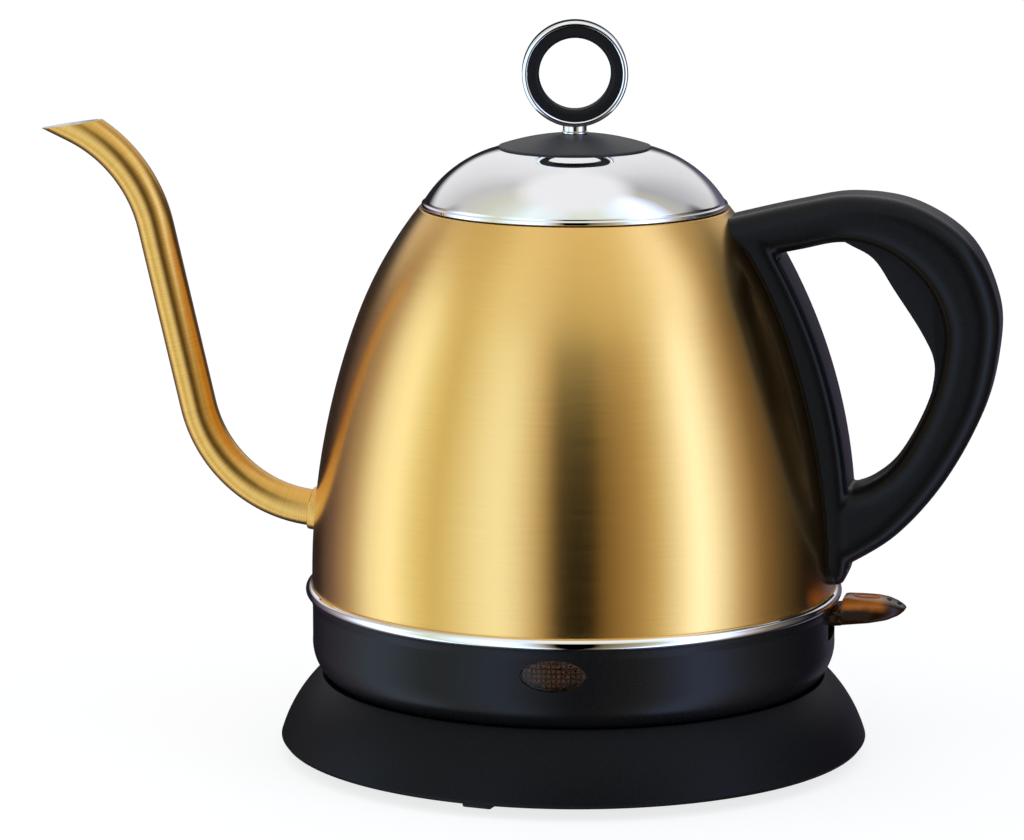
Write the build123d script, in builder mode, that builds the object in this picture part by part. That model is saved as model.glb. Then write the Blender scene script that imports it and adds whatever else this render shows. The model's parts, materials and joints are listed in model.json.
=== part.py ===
from build123d import *
import os
from math import asin, atan2, cos, degrees, hypot, radians, sin, sqrt

# Electric gooseneck kettle with its round power base, as an assembly of separate pieces.
# Millimetres. The origin is on the table, on the axis of the kettle and its base. +Z is up,
# the handle points along +X, the spout along -X, and the lamp's window is on the -Y side.

# ---- gaps between pieces
moving_gap = 0.3  # between pieces of bodies that move against each other
loose_gap = 0.6  # round the connector, so that the kettle drops on easily
seat_gap = 0.05  # between pieces that are fastened together
pin_fit = 0.05  # radial play of the switch's pivot

# ---- body: a straight foot, a long lower curve and a tighter shoulder curve
body_radius = 71.3
body_foot_z = 48.0
waist_height = 70.0  # height of the lower curve
waist_inset = 12.25  # how far the lower curve leans in
shoulder_height = 30.2
shoulder_inset = 16.65
shell_wall = 0.8
mouth_lip = 1.2  # rolled lip, inwards
mouth_lip_rise = 0.7
mouth_bore = 37.5
mouth_neck = 4.0  # depth of the turned-in neck

# ---- housing under the body
housing_wall = 2.2
housing_bottom_z = 19.3
housing_corner = 8.0  # width of the rounded bottom edge
housing_side_z = 31.5  # the side is straight above this height
housing_top_z = 43.2
housing_lip = 0.7  # how far the upper lip stands proud under the trim ring
trim_bulge = 1.75
trim_height = 2.9

# ---- power base
base_rim_z = 3.0
base_flare = 11.0  # the skirt spreads this far below its ridge
base_ridge_drop = 2.2  # the ridge is this much inside the housing's side
base_ridge_z = 21.5
base_wall = 2.4
deck_thickness = 2.2
plate_thickness = 2.0
foot_count = 4
foot_first_angle = -100.8
foot_width = 8.0
foot_depth = 6.0
foot_outer_radius = 72.0
base_screw_circle = 48.0
base_screw_count = 3
base_screw_first = 30.0
boss_radius = 4.5
screw_radius = 1.5
screw_head_radius = 3.0
screw_head_height = 1.8
cord_bore_radius = 3.25
gland_wall = 1.6
gland_flange = 0.6

# ---- round connector
hub_radius = 16.0
hub_height = 12.0  # above the deck
hub_flange = 4.0
ring_radii = (10.4, 5.2)  # inner radii of the socket's two contact rings
ring_wall = 1.0
contact_pin_radius = 1.6
socket_wall = 2.2

# ---- heater and control
heater_plate_wall = 1.2
heater_plate_z = 47.2
diffuser_radius = 50.0
diffuser_thickness = 3.0
element_ring_radius = 38.0
element_radius = 3.2
element_arc = 310.0
control_radius = 21.0
control_height = 6.6
bimetal_radius = 8.5
steam_tube_radius = 3.5
steam_tube_wall = 0.5
steam_tube_top_z = 132.0
steam_turn = 22.0

# ---- switch
switch_pivot_inset = 11.3  # the pivot, in from the body's radius
switch_pivot_z = 40.0
switch_pin_radius = 1.25
lever_reach = 19.7  # the tip, out from the body's radius
lever_width = 14.0

# ---- lamp and window
window_turn = 5.4  # from -Y towards +X
window_z = 36.1
window_half_width = 8.35
window_half_height = 3.9
window_gap = 0.3

# ---- spout
spout_radius = 5.0
spout_wall = 0.8
spout_root_z = 63.4
spout_root_rise = 8.0  # the root points this many degrees above level
spout_lower_bend = 36.0
spout_lean = 13.0  # the straight run, from upright
spout_straight = 50.6
spout_upper_bend = 40.0
spout_upper_turn = 52.0
spout_mouth_slope = 9.0
collar_wall = 0.9
collar_length = 2.6

# ---- handle
handle_half_width = 11.0
inset_half_width = 8.5  # half the width of the cover and of the liner
handle_corner = 5.2
nut_radius = 4.0
nut_height = 2.2
strip_depth = 5.6  # at the strip's lower end
strip_foot_rise = 4.75  # the strip starts this far above the body's lower edge
cover_depth = 1.8
seam_gap = 0.3

# ---- lid
lid_gap = 0.3
lid_rise = 14.9
lid_sheet = 0.8
skirt_depth = 9.0
seal_wall = 1.3
cap_radius = 20.4
cap_height = 3.7
ring_outer = 14.2
ring_bezel = 1.4
ring_hole = 9.6
ring_depth = 8.0
neck_radius = 3.5
neck_length = 2.4
lid_turn = 10.5

# ---- worked out from the sizes above
deck_z = housing_bottom_z - moving_gap
housing_radius = body_radius - 0.1
base_ridge = housing_radius - base_ridge_drop
base_radius = base_ridge + base_flare
mouth_z = body_foot_z + waist_height + shoulder_height
mouth_radius = body_radius - waist_inset - shoulder_inset
mouth_top_z = mouth_z + mouth_lip_rise
body_bottom_z = housing_top_z + seat_gap
lid_z = mouth_top_z + lid_gap
lid_radius = mouth_radius - mouth_lip

# The lower curve leaves the foot upright; the shoulder curve carries on tangent to it.
waist_radius = (waist_inset**2 + waist_height**2) / (2 * waist_inset)
waist_angle = degrees(asin(waist_height / waist_radius))
chord_angle = degrees(atan2(shoulder_inset, shoulder_height))
mouth_angle = 2 * chord_angle - waist_angle
shoulder_chord = hypot(shoulder_inset, shoulder_height)
shoulder_radius = shoulder_chord / (2 * sin(radians(chord_angle - waist_angle)))


def wall_radius(z):
    """Outer radius of the body at height z."""
    if z <= body_foot_z:
        return body_radius
    if z <= body_foot_z + waist_height:
        return body_radius - waist_radius + sqrt(waist_radius**2 - (z - body_foot_z) ** 2)
    centre_r = body_radius - waist_inset - shoulder_radius * cos(radians(waist_angle))
    centre_z = body_foot_z + waist_height - shoulder_radius * sin(radians(waist_angle))
    return centre_r + sqrt(shoulder_radius**2 - (z - centre_z) ** 2)


def body_points(offset):
    """Foot, waist and mouth of the body's outline, moved square to it by offset."""
    foot = (body_radius + offset, body_foot_z)
    waist = (
        body_radius - waist_inset + offset * cos(radians(waist_angle)),
        body_foot_z + waist_height + offset * sin(radians(waist_angle)),
    )
    mouth = (
        mouth_radius + offset * cos(radians(mouth_angle)),
        mouth_z + offset * sin(radians(mouth_angle)),
    )
    return foot, waist, mouth


def draw_body_side(offset):
    """Draw the body's side from foot to mouth in the open BuildLine."""
    foot, waist, mouth = body_points(offset)
    lean = (-sin(radians(waist_angle)), cos(radians(waist_angle)))
    TangentArc(foot, waist, tangent=(0, 1))
    TangentArc(waist, mouth, tangent=lean)


def turned(*corners):
    """Revolve a closed outline of (radius, height) corners about the kettle's axis."""
    with BuildSketch(Plane.XZ) as section:
        with BuildLine():
            Polyline(*corners, close=True)
        make_face()
    return revolve(section.sketch, axis=Axis.Z, mode=Mode.PRIVATE)


def tube_ring(inner, outer, low, high):
    """A plain ring about the kettle's axis."""
    return turned((inner, low), (outer, low), (outer, high), (inner, high))


def body_core(offset, low):
    """Solid inside the body's outline, moved by offset, from height low to the mouth."""
    foot, waist, mouth = body_points(offset)
    with BuildSketch(Plane.XZ) as section:
        with BuildLine():
            Line((0, low), (foot[0], low))
            Line((foot[0], low), foot)
            draw_body_side(offset)
            Polyline(mouth, (0, mouth[1]), (0, low))
        make_face()
    return revolve(section.sketch, axis=Axis.Z, mode=Mode.PRIVATE)


def ring_places(radius, count, first, z):
    """Locations round the axis, each turned to face outwards."""
    turns = [first + 360 / count * index for index in range(count)]
    return [
        Location((radius * cos(radians(turn)), radius * sin(radians(turn)), z), (0, 0, turn))
        for turn in turns
    ]


def skirt_edge(grow):
    """Corners of the base skirt's outer curve: rim, middle and ridge."""
    rim = (base_radius + grow, base_rim_z + 1.2)
    middle = (base_ridge + 0.67 * base_flare + grow, base_rim_z + 9.5 + grow / 2)
    ridge = (base_ridge + grow, base_ridge_z + grow)
    return rim, middle, ridge


def housing_core(inset):
    """Solid inside the housing's outline, moved inwards by inset."""
    low = housing_bottom_z + inset
    side = housing_radius - inset
    with BuildSketch(Plane.XZ) as section:
        with BuildLine():
            corner = (side - housing_corner, low)
            Line((0, low), corner)
            ThreePointArc(
                corner,
                (side - 0.22 * housing_corner, low + 0.4 * (housing_side_z - housing_bottom_z)),
                (side, housing_side_z),
            )
            Polyline(
                (side, housing_side_z),
                (side, housing_top_z - 2.6),
                (side + housing_lip, housing_top_z - 0.3),
                (side + housing_lip - 0.3, housing_top_z),
                (0, housing_top_z),
                (0, low),
            )
        make_face()
    return revolve(section.sketch, axis=Axis.Z, mode=Mode.PRIVATE)


# ======================================================== power base
deck_edge = base_ridge - 4.2
skirt_inner_rim = base_radius - base_wall
plate_z = base_rim_z + 0.2
plate_radius = skirt_inner_rim - 0.8
hub_hole = hub_radius + seat_gap
boss_top_z = deck_z - deck_thickness
boss_bottom_z = plate_z + plate_thickness
gland_radius = cord_bore_radius + gland_wall
gland_z = boss_bottom_z + gland_radius + gland_flange + seat_gap

with BuildPart() as base_cover:
    with BuildSketch(Plane.XZ):
        with BuildLine():
            rim, middle, ridge = skirt_edge(0)
            ThreePointArc(rim, middle, ridge)
            Polyline(ridge, (ridge[0] - 0.5, ridge[1]), (deck_edge, deck_z), (hub_hole, deck_z))
            Polyline(
                (hub_hole, deck_z),
                (hub_hole, boss_top_z),
                (deck_edge - 1.0, boss_top_z),
            )
            ThreePointArc(
                (deck_edge - 1.0, boss_top_z),
                (middle[0] - base_wall, middle[1] - 0.8),
                (skirt_inner_rim, base_rim_z),
            )
            Polyline((skirt_inner_rim, base_rim_z), (rim[0] - 0.9, base_rim_z), rim)
        make_face()
    revolve(axis=Axis.Z)
    with Locations(ring_places(base_screw_circle, base_screw_count, base_screw_first, boss_bottom_z)):
        Cylinder(boss_radius, boss_top_z - boss_bottom_z, align=(Align.CENTER, Align.CENTER, Align.MIN))
    with Locations(ring_places(base_screw_circle, base_screw_count, base_screw_first, boss_bottom_z)):
        Cylinder(
            screw_radius + seat_gap,
            boss_top_z - boss_bottom_z - 1.0,
            align=(Align.CENTER, Align.CENTER, Align.MIN),
            mode=Mode.SUBTRACT,
        )
    with BuildSketch(Plane.XZ.offset(-base_ridge + 6)):
        with Locations((0, gland_z)):
            Circle(gland_radius + seat_gap)
    extrude(amount=-base_flare - 8, mode=Mode.SUBTRACT)

with BuildPart() as base_plate:
    add(tube_ring(0, plate_radius, plate_z, plate_z + plate_thickness))
    with Locations(ring_places(base_screw_circle, base_screw_count, base_screw_first, plate_z)):
        Cylinder(screw_radius + 0.2, 2 * plate_thickness, mode=Mode.SUBTRACT)

with BuildPart() as base_feet:
    foot_centre = foot_outer_radius - foot_depth / 2
    with Locations(ring_places(foot_centre, foot_count, foot_first_angle, 0)):
        Box(foot_depth, foot_width, plate_z, align=(Align.CENTER, Align.CENTER, Align.MIN))

with BuildPart() as base_screws:
    with Locations(ring_places(base_screw_circle, base_screw_count, base_screw_first, plate_z)):
        Cylinder(screw_radius, 10.0, align=(Align.CENTER, Align.CENTER, Align.MIN))
    with Locations(ring_places(base_screw_circle, base_screw_count, base_screw_first, plate_z)):
        Cylinder(
            screw_head_radius,
            screw_head_height,
            align=(Align.CENTER, Align.CENTER, Align.MAX),
        )

with BuildPart() as cord_gland:
    with BuildSketch(Plane.XZ.offset(-base_ridge + 4)):
        with Locations((0, gland_z)):
            Circle(gland_radius)
    extrude(amount=-base_flare - 6)
    with BuildSketch(Plane.XZ):
        with BuildLine():
            rim, middle, ridge = skirt_edge(0.6)
            ThreePointArc(rim, middle, ridge)
            Polyline(ridge, (0, ridge[1]), (0, 0), (rim[0], 0), rim)
        make_face()
    revolve(axis=Axis.Z, mode=Mode.INTERSECT)
    with BuildSketch(Plane.XZ.offset(-base_ridge + 4)):
        with Locations((0, gland_z)):
            Circle(gland_radius + gland_flange)
    extrude(amount=1.5)
    with BuildSketch(Plane.XZ.offset(-base_ridge + 10)):
        with Locations((0, gland_z)):
            Circle(cord_bore_radius)
    extrude(amount=-base_flare - 14, mode=Mode.SUBTRACT)

hub_top_z = deck_z + hub_height
hub_floor_z = boss_top_z - 3.0
slot_floor_z = hub_floor_z + hub_flange
ring_bottom_z = deck_z + 2.0

with BuildPart() as power_hub:
    with BuildSketch(Plane.XZ):
        with BuildLine():
            Polyline(
                (0, hub_floor_z),
                (hub_radius + hub_flange, hub_floor_z),
                (hub_radius + hub_flange, boss_top_z),
                (hub_radius, boss_top_z),
                (hub_radius, hub_top_z - 1.5),
                (hub_radius - 1.5, hub_top_z),
                (0, hub_top_z),
                close=True,
            )
        make_face()
    revolve(axis=Axis.Z)
    for inner in ring_radii:
        add(
            tube_ring(inner - loose_gap, inner + ring_wall + loose_gap, slot_floor_z, hub_top_z + 1),
            mode=Mode.SUBTRACT,
        )
    add(tube_ring(0, contact_pin_radius + loose_gap, slot_floor_z, hub_top_z + 1), mode=Mode.SUBTRACT)

with BuildPart() as base_contacts:
    contact_height = ring_bottom_z - moving_gap - slot_floor_z
    for inner, half_turn in zip(ring_radii, (20, 35)):
        with BuildSketch(Plane.XY.offset(slot_floor_z)):
            Circle(inner + ring_wall)
            Circle(inner, mode=Mode.SUBTRACT)
            with Locations(Location((0, 0, 0), (0, 0, -half_turn))):
                Rectangle(60, 60, align=(Align.CENTER, Align.MIN), mode=Mode.INTERSECT)
            with Locations(Location((0, 0, 0), (0, 0, half_turn))):
                Rectangle(60, 60, align=(Align.CENTER, Align.MAX), mode=Mode.INTERSECT)
        extrude(amount=contact_height)
    with BuildSketch(Plane.XY.offset(slot_floor_z)):
        Circle(contact_pin_radius)
    extrude(amount=contact_height)

# ======================================================== round socket of the kettle
socket_bore = hub_radius + loose_gap
socket_radius = socket_bore + socket_wall
socket_ceiling_z = hub_top_z + 0.8
socket_top_z = socket_ceiling_z + 2.2

with BuildPart() as socket_shroud:
    with BuildSketch(Plane.XZ):
        with BuildLine():
            Polyline(
                (socket_bore, deck_z + moving_gap),
                (socket_radius, deck_z + moving_gap),
                (socket_radius, socket_top_z),
                (0, socket_top_z),
                (0, socket_ceiling_z),
                (socket_bore, socket_ceiling_z),
                close=True,
            )
        make_face()
    revolve(axis=Axis.Z)

with BuildPart() as contact_rings:
    for inner in ring_radii:
        add(tube_ring(inner, inner + ring_wall, ring_bottom_z, socket_ceiling_z))
    add(tube_ring(0, contact_pin_radius, ring_bottom_z, socket_ceiling_z))

# ======================================================== kettle body
root_rise = radians(spout_root_rise)
root_direction = (-cos(root_rise), 0, sin(root_rise))
root_point = (-wall_radius(spout_root_z), 0, spout_root_z)
root_plane = Plane(origin=root_point, x_dir=(0, 1, 0), z_dir=root_direction)

with BuildPart() as body_shell:
    inner_mouth = body_points(-shell_wall)[2]
    neck_low_z = mouth_top_z - mouth_neck
    with BuildSketch(Plane.XZ):
        with BuildLine():
            Line((body_radius, body_bottom_z), (body_radius, body_foot_z))
            draw_body_side(0)
            Polyline(
                (mouth_radius, mouth_z),
                (mouth_radius - 0.4, mouth_z + 0.5),
                (lid_radius, mouth_top_z),
                (mouth_bore, mouth_top_z),
                (mouth_bore, neck_low_z),
                (mouth_bore + shell_wall, neck_low_z),
                (mouth_bore + shell_wall, mouth_top_z - shell_wall),
                (inner_mouth[0] - 0.5, mouth_top_z - shell_wall),
                inner_mouth,
            )
            draw_body_side(-shell_wall)
            Polyline(
                (body_radius - shell_wall, body_foot_z),
                (body_radius - shell_wall, body_bottom_z),
                (body_radius, body_bottom_z),
            )
        make_face()
    revolve(axis=Axis.Z)
    with BuildSketch(root_plane.offset(-6)):
        Circle(spout_radius + seat_gap)
    extrude(amount=12, mode=Mode.SUBTRACT)

with BuildPart() as trim_ring:
    trim_inner = body_radius + seat_gap
    trim_top_z = body_bottom_z + trim_height
    with BuildSketch(Plane.XZ):
        with BuildLine():
            Polyline(
                (trim_inner + 0.9, body_bottom_z),
                (trim_inner, body_bottom_z),
                (trim_inner, trim_top_z - 0.3),
                (trim_inner + 0.25, trim_top_z),
            )
            ThreePointArc(
                (trim_inner + 0.25, trim_top_z),
                (trim_inner + trim_bulge - 0.05, body_bottom_z + 0.45 * trim_height),
                (trim_inner + 0.9, body_bottom_z),
            )
        make_face()
    revolve(axis=Axis.Z)

plate_rim = body_radius - shell_wall - seat_gap
steam_top_r = wall_radius(steam_tube_top_z) - shell_wall - steam_tube_radius - 2.5
steam_low_r = diffuser_radius + steam_tube_radius + 4.0
steam_low_z = heater_plate_z - 5.5
steam_low = Vector(steam_low_r, 0, steam_low_z).rotate(Axis.Z, steam_turn)
steam_top = Vector(steam_top_r, 0, steam_tube_top_z).rotate(Axis.Z, steam_turn)
steam_plane = Plane(origin=steam_low, z_dir=steam_top - steam_low)
steam_length = (steam_top - steam_low).length

with BuildPart() as heater_plate:
    under_z = heater_plate_z - heater_plate_wall
    add(
        turned(
            (0, under_z),
            (plate_rim - heater_plate_wall, under_z),
            (plate_rim - heater_plate_wall, body_bottom_z + 0.2),
            (plate_rim, body_bottom_z + 0.2),
            (plate_rim, heater_plate_z),
            (0, heater_plate_z),
        )
    )
    with BuildSketch(steam_plane):
        Circle(steam_tube_radius + seat_gap)
    extrude(amount=12, mode=Mode.SUBTRACT)

with BuildPart() as steam_tube:
    with BuildSketch(steam_plane):
        Circle(steam_tube_radius)
        Circle(steam_tube_radius - steam_tube_wall, mode=Mode.SUBTRACT)
    extrude(amount=steam_length)

diffuser_top_z = heater_plate_z - heater_plate_wall - 0.02
diffuser_low_z = diffuser_top_z - diffuser_thickness
element_z = diffuser_low_z - element_radius - 0.02

with BuildPart() as diffuser_plate:
    add(tube_ring(0, diffuser_radius, diffuser_low_z, diffuser_top_z))
    fillet(diffuser_plate.edges().group_by(Axis.Z)[0], 0.8)

with BuildPart() as heating_element:
    element_start = Plane.XZ.rotated((0, 0, 90 + (360 - element_arc) / 2))
    with BuildSketch(element_start):
        with Locations((element_ring_radius, element_z)):
            Circle(element_radius)
    revolve(axis=Axis.Z, revolution_arc=element_arc)
    end_turns = (90 + (360 - element_arc) / 2 + 4, 90 - (360 - element_arc) / 2 - 4)
    for turn in end_turns:
        end_x = element_ring_radius * cos(radians(turn))
        end_y = element_ring_radius * sin(radians(turn))
        with Locations((end_x, end_y, element_z)):
            Cylinder(1.6, element_radius + 6, align=(Align.CENTER, Align.CENTER, Align.MAX))

# ======================================================== control under the heater
control_low_z = socket_top_z + moving_gap
control_top_z = control_low_z + control_height

with BuildPart() as control_body:
    add(tube_ring(0, control_radius, control_low_z, control_top_z))
    with GridLocations(2 * bimetal_radius + 2, 1, 2, 1):
        with Locations((0, 0, control_top_z)):
            Cylinder(
                bimetal_radius + 0.2,
                0.9,
                align=(Align.CENTER, Align.CENTER, Align.MAX),
                mode=Mode.SUBTRACT,
            )
    with Locations(ring_places(control_radius + 3, 3, 90, control_top_z - 2)):
        Box(10, 9, 2, align=(Align.CENTER, Align.CENTER, Align.MIN))
    with Locations(ring_places(control_radius + 5, 3, 90, control_top_z)):
        Cylinder(screw_radius + 0.2, 8, mode=Mode.SUBTRACT)

with BuildPart() as bimetal_discs:
    with GridLocations(2 * bimetal_radius + 2, 1, 2, 1):
        with Locations((0, 0, control_top_z - 0.9)):
            Cylinder(bimetal_radius, 0.6, align=(Align.CENTER, Align.CENTER, Align.MIN))

with BuildPart() as control_screws:
    screw_low_z = control_top_z - 2
    with Locations(ring_places(control_radius + 5, 3, 90, screw_low_z)):
        Cylinder(
            screw_radius,
            diffuser_low_z - screw_low_z,
            align=(Align.CENTER, Align.CENTER, Align.MIN),
        )
        Cylinder(
            screw_head_radius - 0.4,
            screw_head_height,
            align=(Align.CENTER, Align.CENTER, Align.MAX),
        )

cup_x = steam_low_r * cos(radians(steam_turn))
cup_y = steam_low_r * sin(radians(steam_turn))
cup_top_z = steam_low_z - 2.0
cup_low_z = housing_bottom_z + housing_wall + seat_gap
cup_radius = 8.0
steam_disc_z = cup_top_z - 3.0

with BuildPart() as steam_cup:
    with Locations((cup_x, cup_y, cup_low_z)):
        Cylinder(cup_radius, cup_top_z - cup_low_z, align=(Align.CENTER, Align.CENTER, Align.MIN))
    add(housing_core(housing_wall + seat_gap), mode=Mode.INTERSECT)
    with Locations((cup_x, cup_y, steam_disc_z)):
        Cylinder(
            cup_radius - 1.2,
            5,
            align=(Align.CENTER, Align.CENTER, Align.MIN),
            mode=Mode.SUBTRACT,
        )

with BuildPart() as steam_bimetal:
    with Locations((cup_x, cup_y, steam_disc_z)):
        Cylinder(cup_radius - 1.4, 0.5, align=(Align.CENTER, Align.CENTER, Align.MIN))

# ======================================================== switch
pivot_x = body_radius - switch_pivot_inset
tip_x = body_radius + lever_reach
lever_low_z = switch_pivot_z - 2.8
lever_step_x = body_radius + trim_bulge + 0.8
slot_half_width = lever_width / 2 + 0.8

with BuildPart() as switch_lever:
    with BuildSketch(Plane.XZ):
        with BuildLine():
            Polyline(
                (pivot_x - 9, lever_low_z + 0.6),
                (lever_step_x - 1.5, lever_low_z),
                (tip_x - 5.0, lever_low_z + 1.9),
                (tip_x - 1.0, lever_low_z + 3.6),
                (tip_x, lever_low_z + 5.0),
                (tip_x - 1.4, lever_low_z + 6.0),
                (tip_x - 5.0, lever_low_z + 7.4),
                (tip_x - 12, lever_low_z + 7.9),
                (lever_step_x + 0.6, lever_low_z + 7.9),
                (lever_step_x, lever_low_z + 7.2),
                (lever_step_x, lever_low_z + 5.4),
                (pivot_x - 9, lever_low_z + 4.6),
                close=True,
            )
        make_face()
    extrude(amount=lever_width / 2, both=True)
    with BuildSketch(Plane.XY.offset(lever_low_z - 1)):
        with Locations((pivot_x - 10, 0)):
            Rectangle(tip_x - pivot_x, lever_width, align=(Align.MIN, Align.CENTER))
        with Locations((tip_x - 9, 0)):
            Ellipse(9, lever_width / 2)
    extrude(amount=20, mode=Mode.INTERSECT)
    with BuildSketch(Plane.XZ):
        with Locations((pivot_x, switch_pivot_z)):
            Circle(switch_pin_radius + pin_fit)
    extrude(amount=lever_width, both=True, mode=Mode.SUBTRACT)

block_low_z = housing_bottom_z + housing_wall
block_half_width = lever_width / 2 + 3.0

with BuildPart() as switch_block:
    with Locations((pivot_x - 4, 0, block_low_z)):
        Box(
            12,
            2 * block_half_width,
            switch_pivot_z + 2.5 - block_low_z,
            align=(Align.CENTER, Align.CENTER, Align.MIN),
        )
    add(housing_core(housing_wall + seat_gap), mode=Mode.INTERSECT)
    with Locations((pivot_x - 4, 0, lever_low_z - 4.2)):
        Box(
            20,
            lever_width + 2 * moving_gap,
            20,
            align=(Align.CENTER, Align.CENTER, Align.MIN),
            mode=Mode.SUBTRACT,
        )
    with BuildSketch(Plane.XZ):
        with Locations((pivot_x, switch_pivot_z)):
            Circle(switch_pin_radius)
    extrude(amount=2 * block_half_width, both=True, mode=Mode.SUBTRACT)

with BuildPart() as switch_pin:
    with BuildSketch(Plane.XZ):
        with Locations((pivot_x, switch_pivot_z)):
            Circle(switch_pin_radius)
    extrude(amount=block_half_width, both=True)

with BuildPart() as switch_spring:
    spring_z = lever_low_z - 4.2
    with BuildSketch(Plane.XZ):
        with BuildLine():
            Polyline(
                (pivot_x - 9.5, spring_z),
                (pivot_x + 1.5, spring_z),
                (pivot_x + 1.5, spring_z + 0.5),
                (pivot_x - 9.0, spring_z + 0.5),
                (pivot_x - 6.0, spring_z + 3.2),
                (pivot_x - 6.4, spring_z + 3.6),
                (pivot_x - 9.5, spring_z + 0.8),
                close=True,
            )
        make_face()
    extrude(amount=3.0, both=True)

# ======================================================== housing
window_angle = -90 + window_turn
window_direction = (cos(radians(window_angle)), sin(radians(window_angle)), 0)
window_plane = Plane(
    origin=(0, 0, window_z),
    x_dir=(-window_direction[1], window_direction[0], 0),
    z_dir=window_direction,
)


housing_screw_circle = 34.0

with BuildPart() as housing_shell:
    add(housing_core(0))
    add(housing_core(housing_wall), mode=Mode.SUBTRACT)
    with Locations(ring_places(housing_screw_circle, 3, 30, block_low_z)):
        Cylinder(boss_radius, 5.0, align=(Align.CENTER, Align.CENTER, Align.MIN))
    with Locations(ring_places(housing_screw_circle, 3, 30, housing_bottom_z)):
        Cylinder(screw_radius + 0.2, 30, mode=Mode.SUBTRACT)
        Cylinder(screw_head_radius + 0.3, 2 * (screw_head_height + 0.3), mode=Mode.SUBTRACT)
    add(
        tube_ring(0, socket_radius + moving_gap, housing_bottom_z - 1, block_low_z + 1),
        mode=Mode.SUBTRACT,
    )
    with BuildSketch(window_plane.offset(housing_radius - 8)):
        Ellipse(window_half_width + window_gap, window_half_height + window_gap)
    extrude(amount=16, mode=Mode.SUBTRACT)
    with Locations((body_radius, 0, lever_low_z - 3.4)):
        Box(
            12,
            2 * slot_half_width,
            housing_top_z - lever_low_z + 5,
            align=(Align.CENTER, Align.CENTER, Align.MIN),
            mode=Mode.SUBTRACT,
        )

with BuildPart() as housing_screws:
    with Locations(ring_places(housing_screw_circle, 3, 30, housing_bottom_z + screw_head_height)):
        Cylinder(screw_radius, 9.0, align=(Align.CENTER, Align.CENTER, Align.MIN))
        Cylinder(
            screw_head_radius,
            screw_head_height,
            align=(Align.CENTER, Align.CENTER, Align.MAX),
        )

with BuildPart() as indicator_lens:
    with BuildSketch(window_plane.offset(housing_radius - 5)):
        Ellipse(window_half_width, window_half_height)
    extrude(amount=10)
    add(housing_core(-0.1), mode=Mode.INTERSECT)

lamp_radius = 2.4
holder_r = housing_radius - 14.0
holder_place = Location(
    (holder_r * window_direction[0], holder_r * window_direction[1], block_low_z),
    (0, 0, window_angle),
)

with BuildPart() as lamp_holder:
    with Locations(holder_place):
        Box(
            4,
            16,
            window_z - lamp_radius - block_low_z,
            align=(Align.CENTER, Align.CENTER, Align.MIN),
        )

with BuildPart() as lamp_bulb:
    with BuildSketch(window_plane.offset(holder_r)):
        with Locations((0, 0)):
            Rectangle(11, 2 * lamp_radius)
    extrude(amount=lamp_radius, both=True)
    fillet(lamp_bulb.edges(), 0.8)

wire_radius = 0.9
wire_z = control_low_z + wire_radius + 0.1
wire_start_r = control_radius + wire_radius
wire_bend_r = control_radius + 10.0
cheek_y = -block_half_width + 1.4
block_side_x = pivot_x - 10 - moving_gap
lamp_side_r = holder_r - lamp_radius - moving_gap


def flat_point(radius, angle):
    """A point of the level plane, by its distance and direction from the axis."""
    return (radius * cos(radians(angle)), radius * sin(radians(angle)))


wire_routes = (
    (flat_point(wire_start_r, -20), (wire_bend_r, cheek_y), (block_side_x, cheek_y)),
    (
        flat_point(wire_start_r, window_angle + 15),
        flat_point(wire_bend_r, window_angle),
        flat_point(lamp_side_r, window_angle),
    ),
)

with BuildPart() as lead_wires:
    for start, corner, end in wire_routes:
        with BuildLine(Plane.XY.offset(wire_z)) as wire_path:
            FilletPolyline(start, corner, end, radius=4.0)
        with BuildSketch(Plane(origin=wire_path.line @ 0, z_dir=wire_path.line % 0)):
            Circle(wire_radius)
        sweep(path=wire_path.line)

# ======================================================== spout
lower_turn = 90 - spout_lean - spout_root_rise
spout_start = root_plane.offset(-0.3).origin
spout_bend_start = root_plane.offset(4.2).origin
upright = (-sin(radians(spout_lean)), cos(radians(spout_lean)))

with BuildPart() as spout_tube:
    with BuildLine(Plane.XZ) as spout_path:
        Line((spout_start.X, spout_start.Z), (spout_bend_start.X, spout_bend_start.Z))
        lower_bend = JernArc(
            start=(spout_bend_start.X, spout_bend_start.Z),
            tangent=(root_direction[0], root_direction[2]),
            radius=spout_lower_bend,
            arc_size=-lower_turn,
        )
        run_start = (lower_bend @ 1).X, (lower_bend @ 1).Z
        run_end = (
            run_start[0] + spout_straight * upright[0],
            run_start[1] + spout_straight * upright[1],
        )
        Line(run_start, run_end)
        upper_bend = JernArc(
            start=run_end,
            tangent=upright,
            radius=spout_upper_bend,
            arc_size=spout_upper_turn,
        )
        mouth_lean = radians(spout_lean + spout_upper_turn)
        bend_end = (upper_bend @ 1).X, (upper_bend @ 1).Z
        Line(bend_end, (bend_end[0] - 16 * sin(mouth_lean), bend_end[1] + 16 * cos(mouth_lean)))
    with BuildSketch(Plane(origin=spout_start, x_dir=(0, 1, 0), z_dir=root_direction)):
        Circle(spout_radius)
        Circle(spout_radius - spout_wall, mode=Mode.SUBTRACT)
    sweep(path=spout_path.line)
    slope = radians(spout_mouth_slope)
    mouth_plane = Plane(
        origin=(bend_end[0], 0, bend_end[1] + 0.6),
        x_dir=(0, 1, 0),
        z_dir=(-sin(slope), 0, cos(slope)),
    )
    split(bisect_by=mouth_plane, keep=Keep.BOTTOM)

with BuildPart() as spout_collar:
    with BuildSketch(root_plane.offset(-2)):
        Circle(spout_radius + collar_wall)
        Circle(spout_radius + seat_gap, mode=Mode.SUBTRACT)
    extrude(amount=collar_length + 2)
    fillet(spout_collar.edges().filter_by(GeomType.CIRCLE).sort_by(Axis.X)[0], 0.6)
    add(body_core(seat_gap, body_bottom_z), mode=Mode.SUBTRACT)

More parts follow.
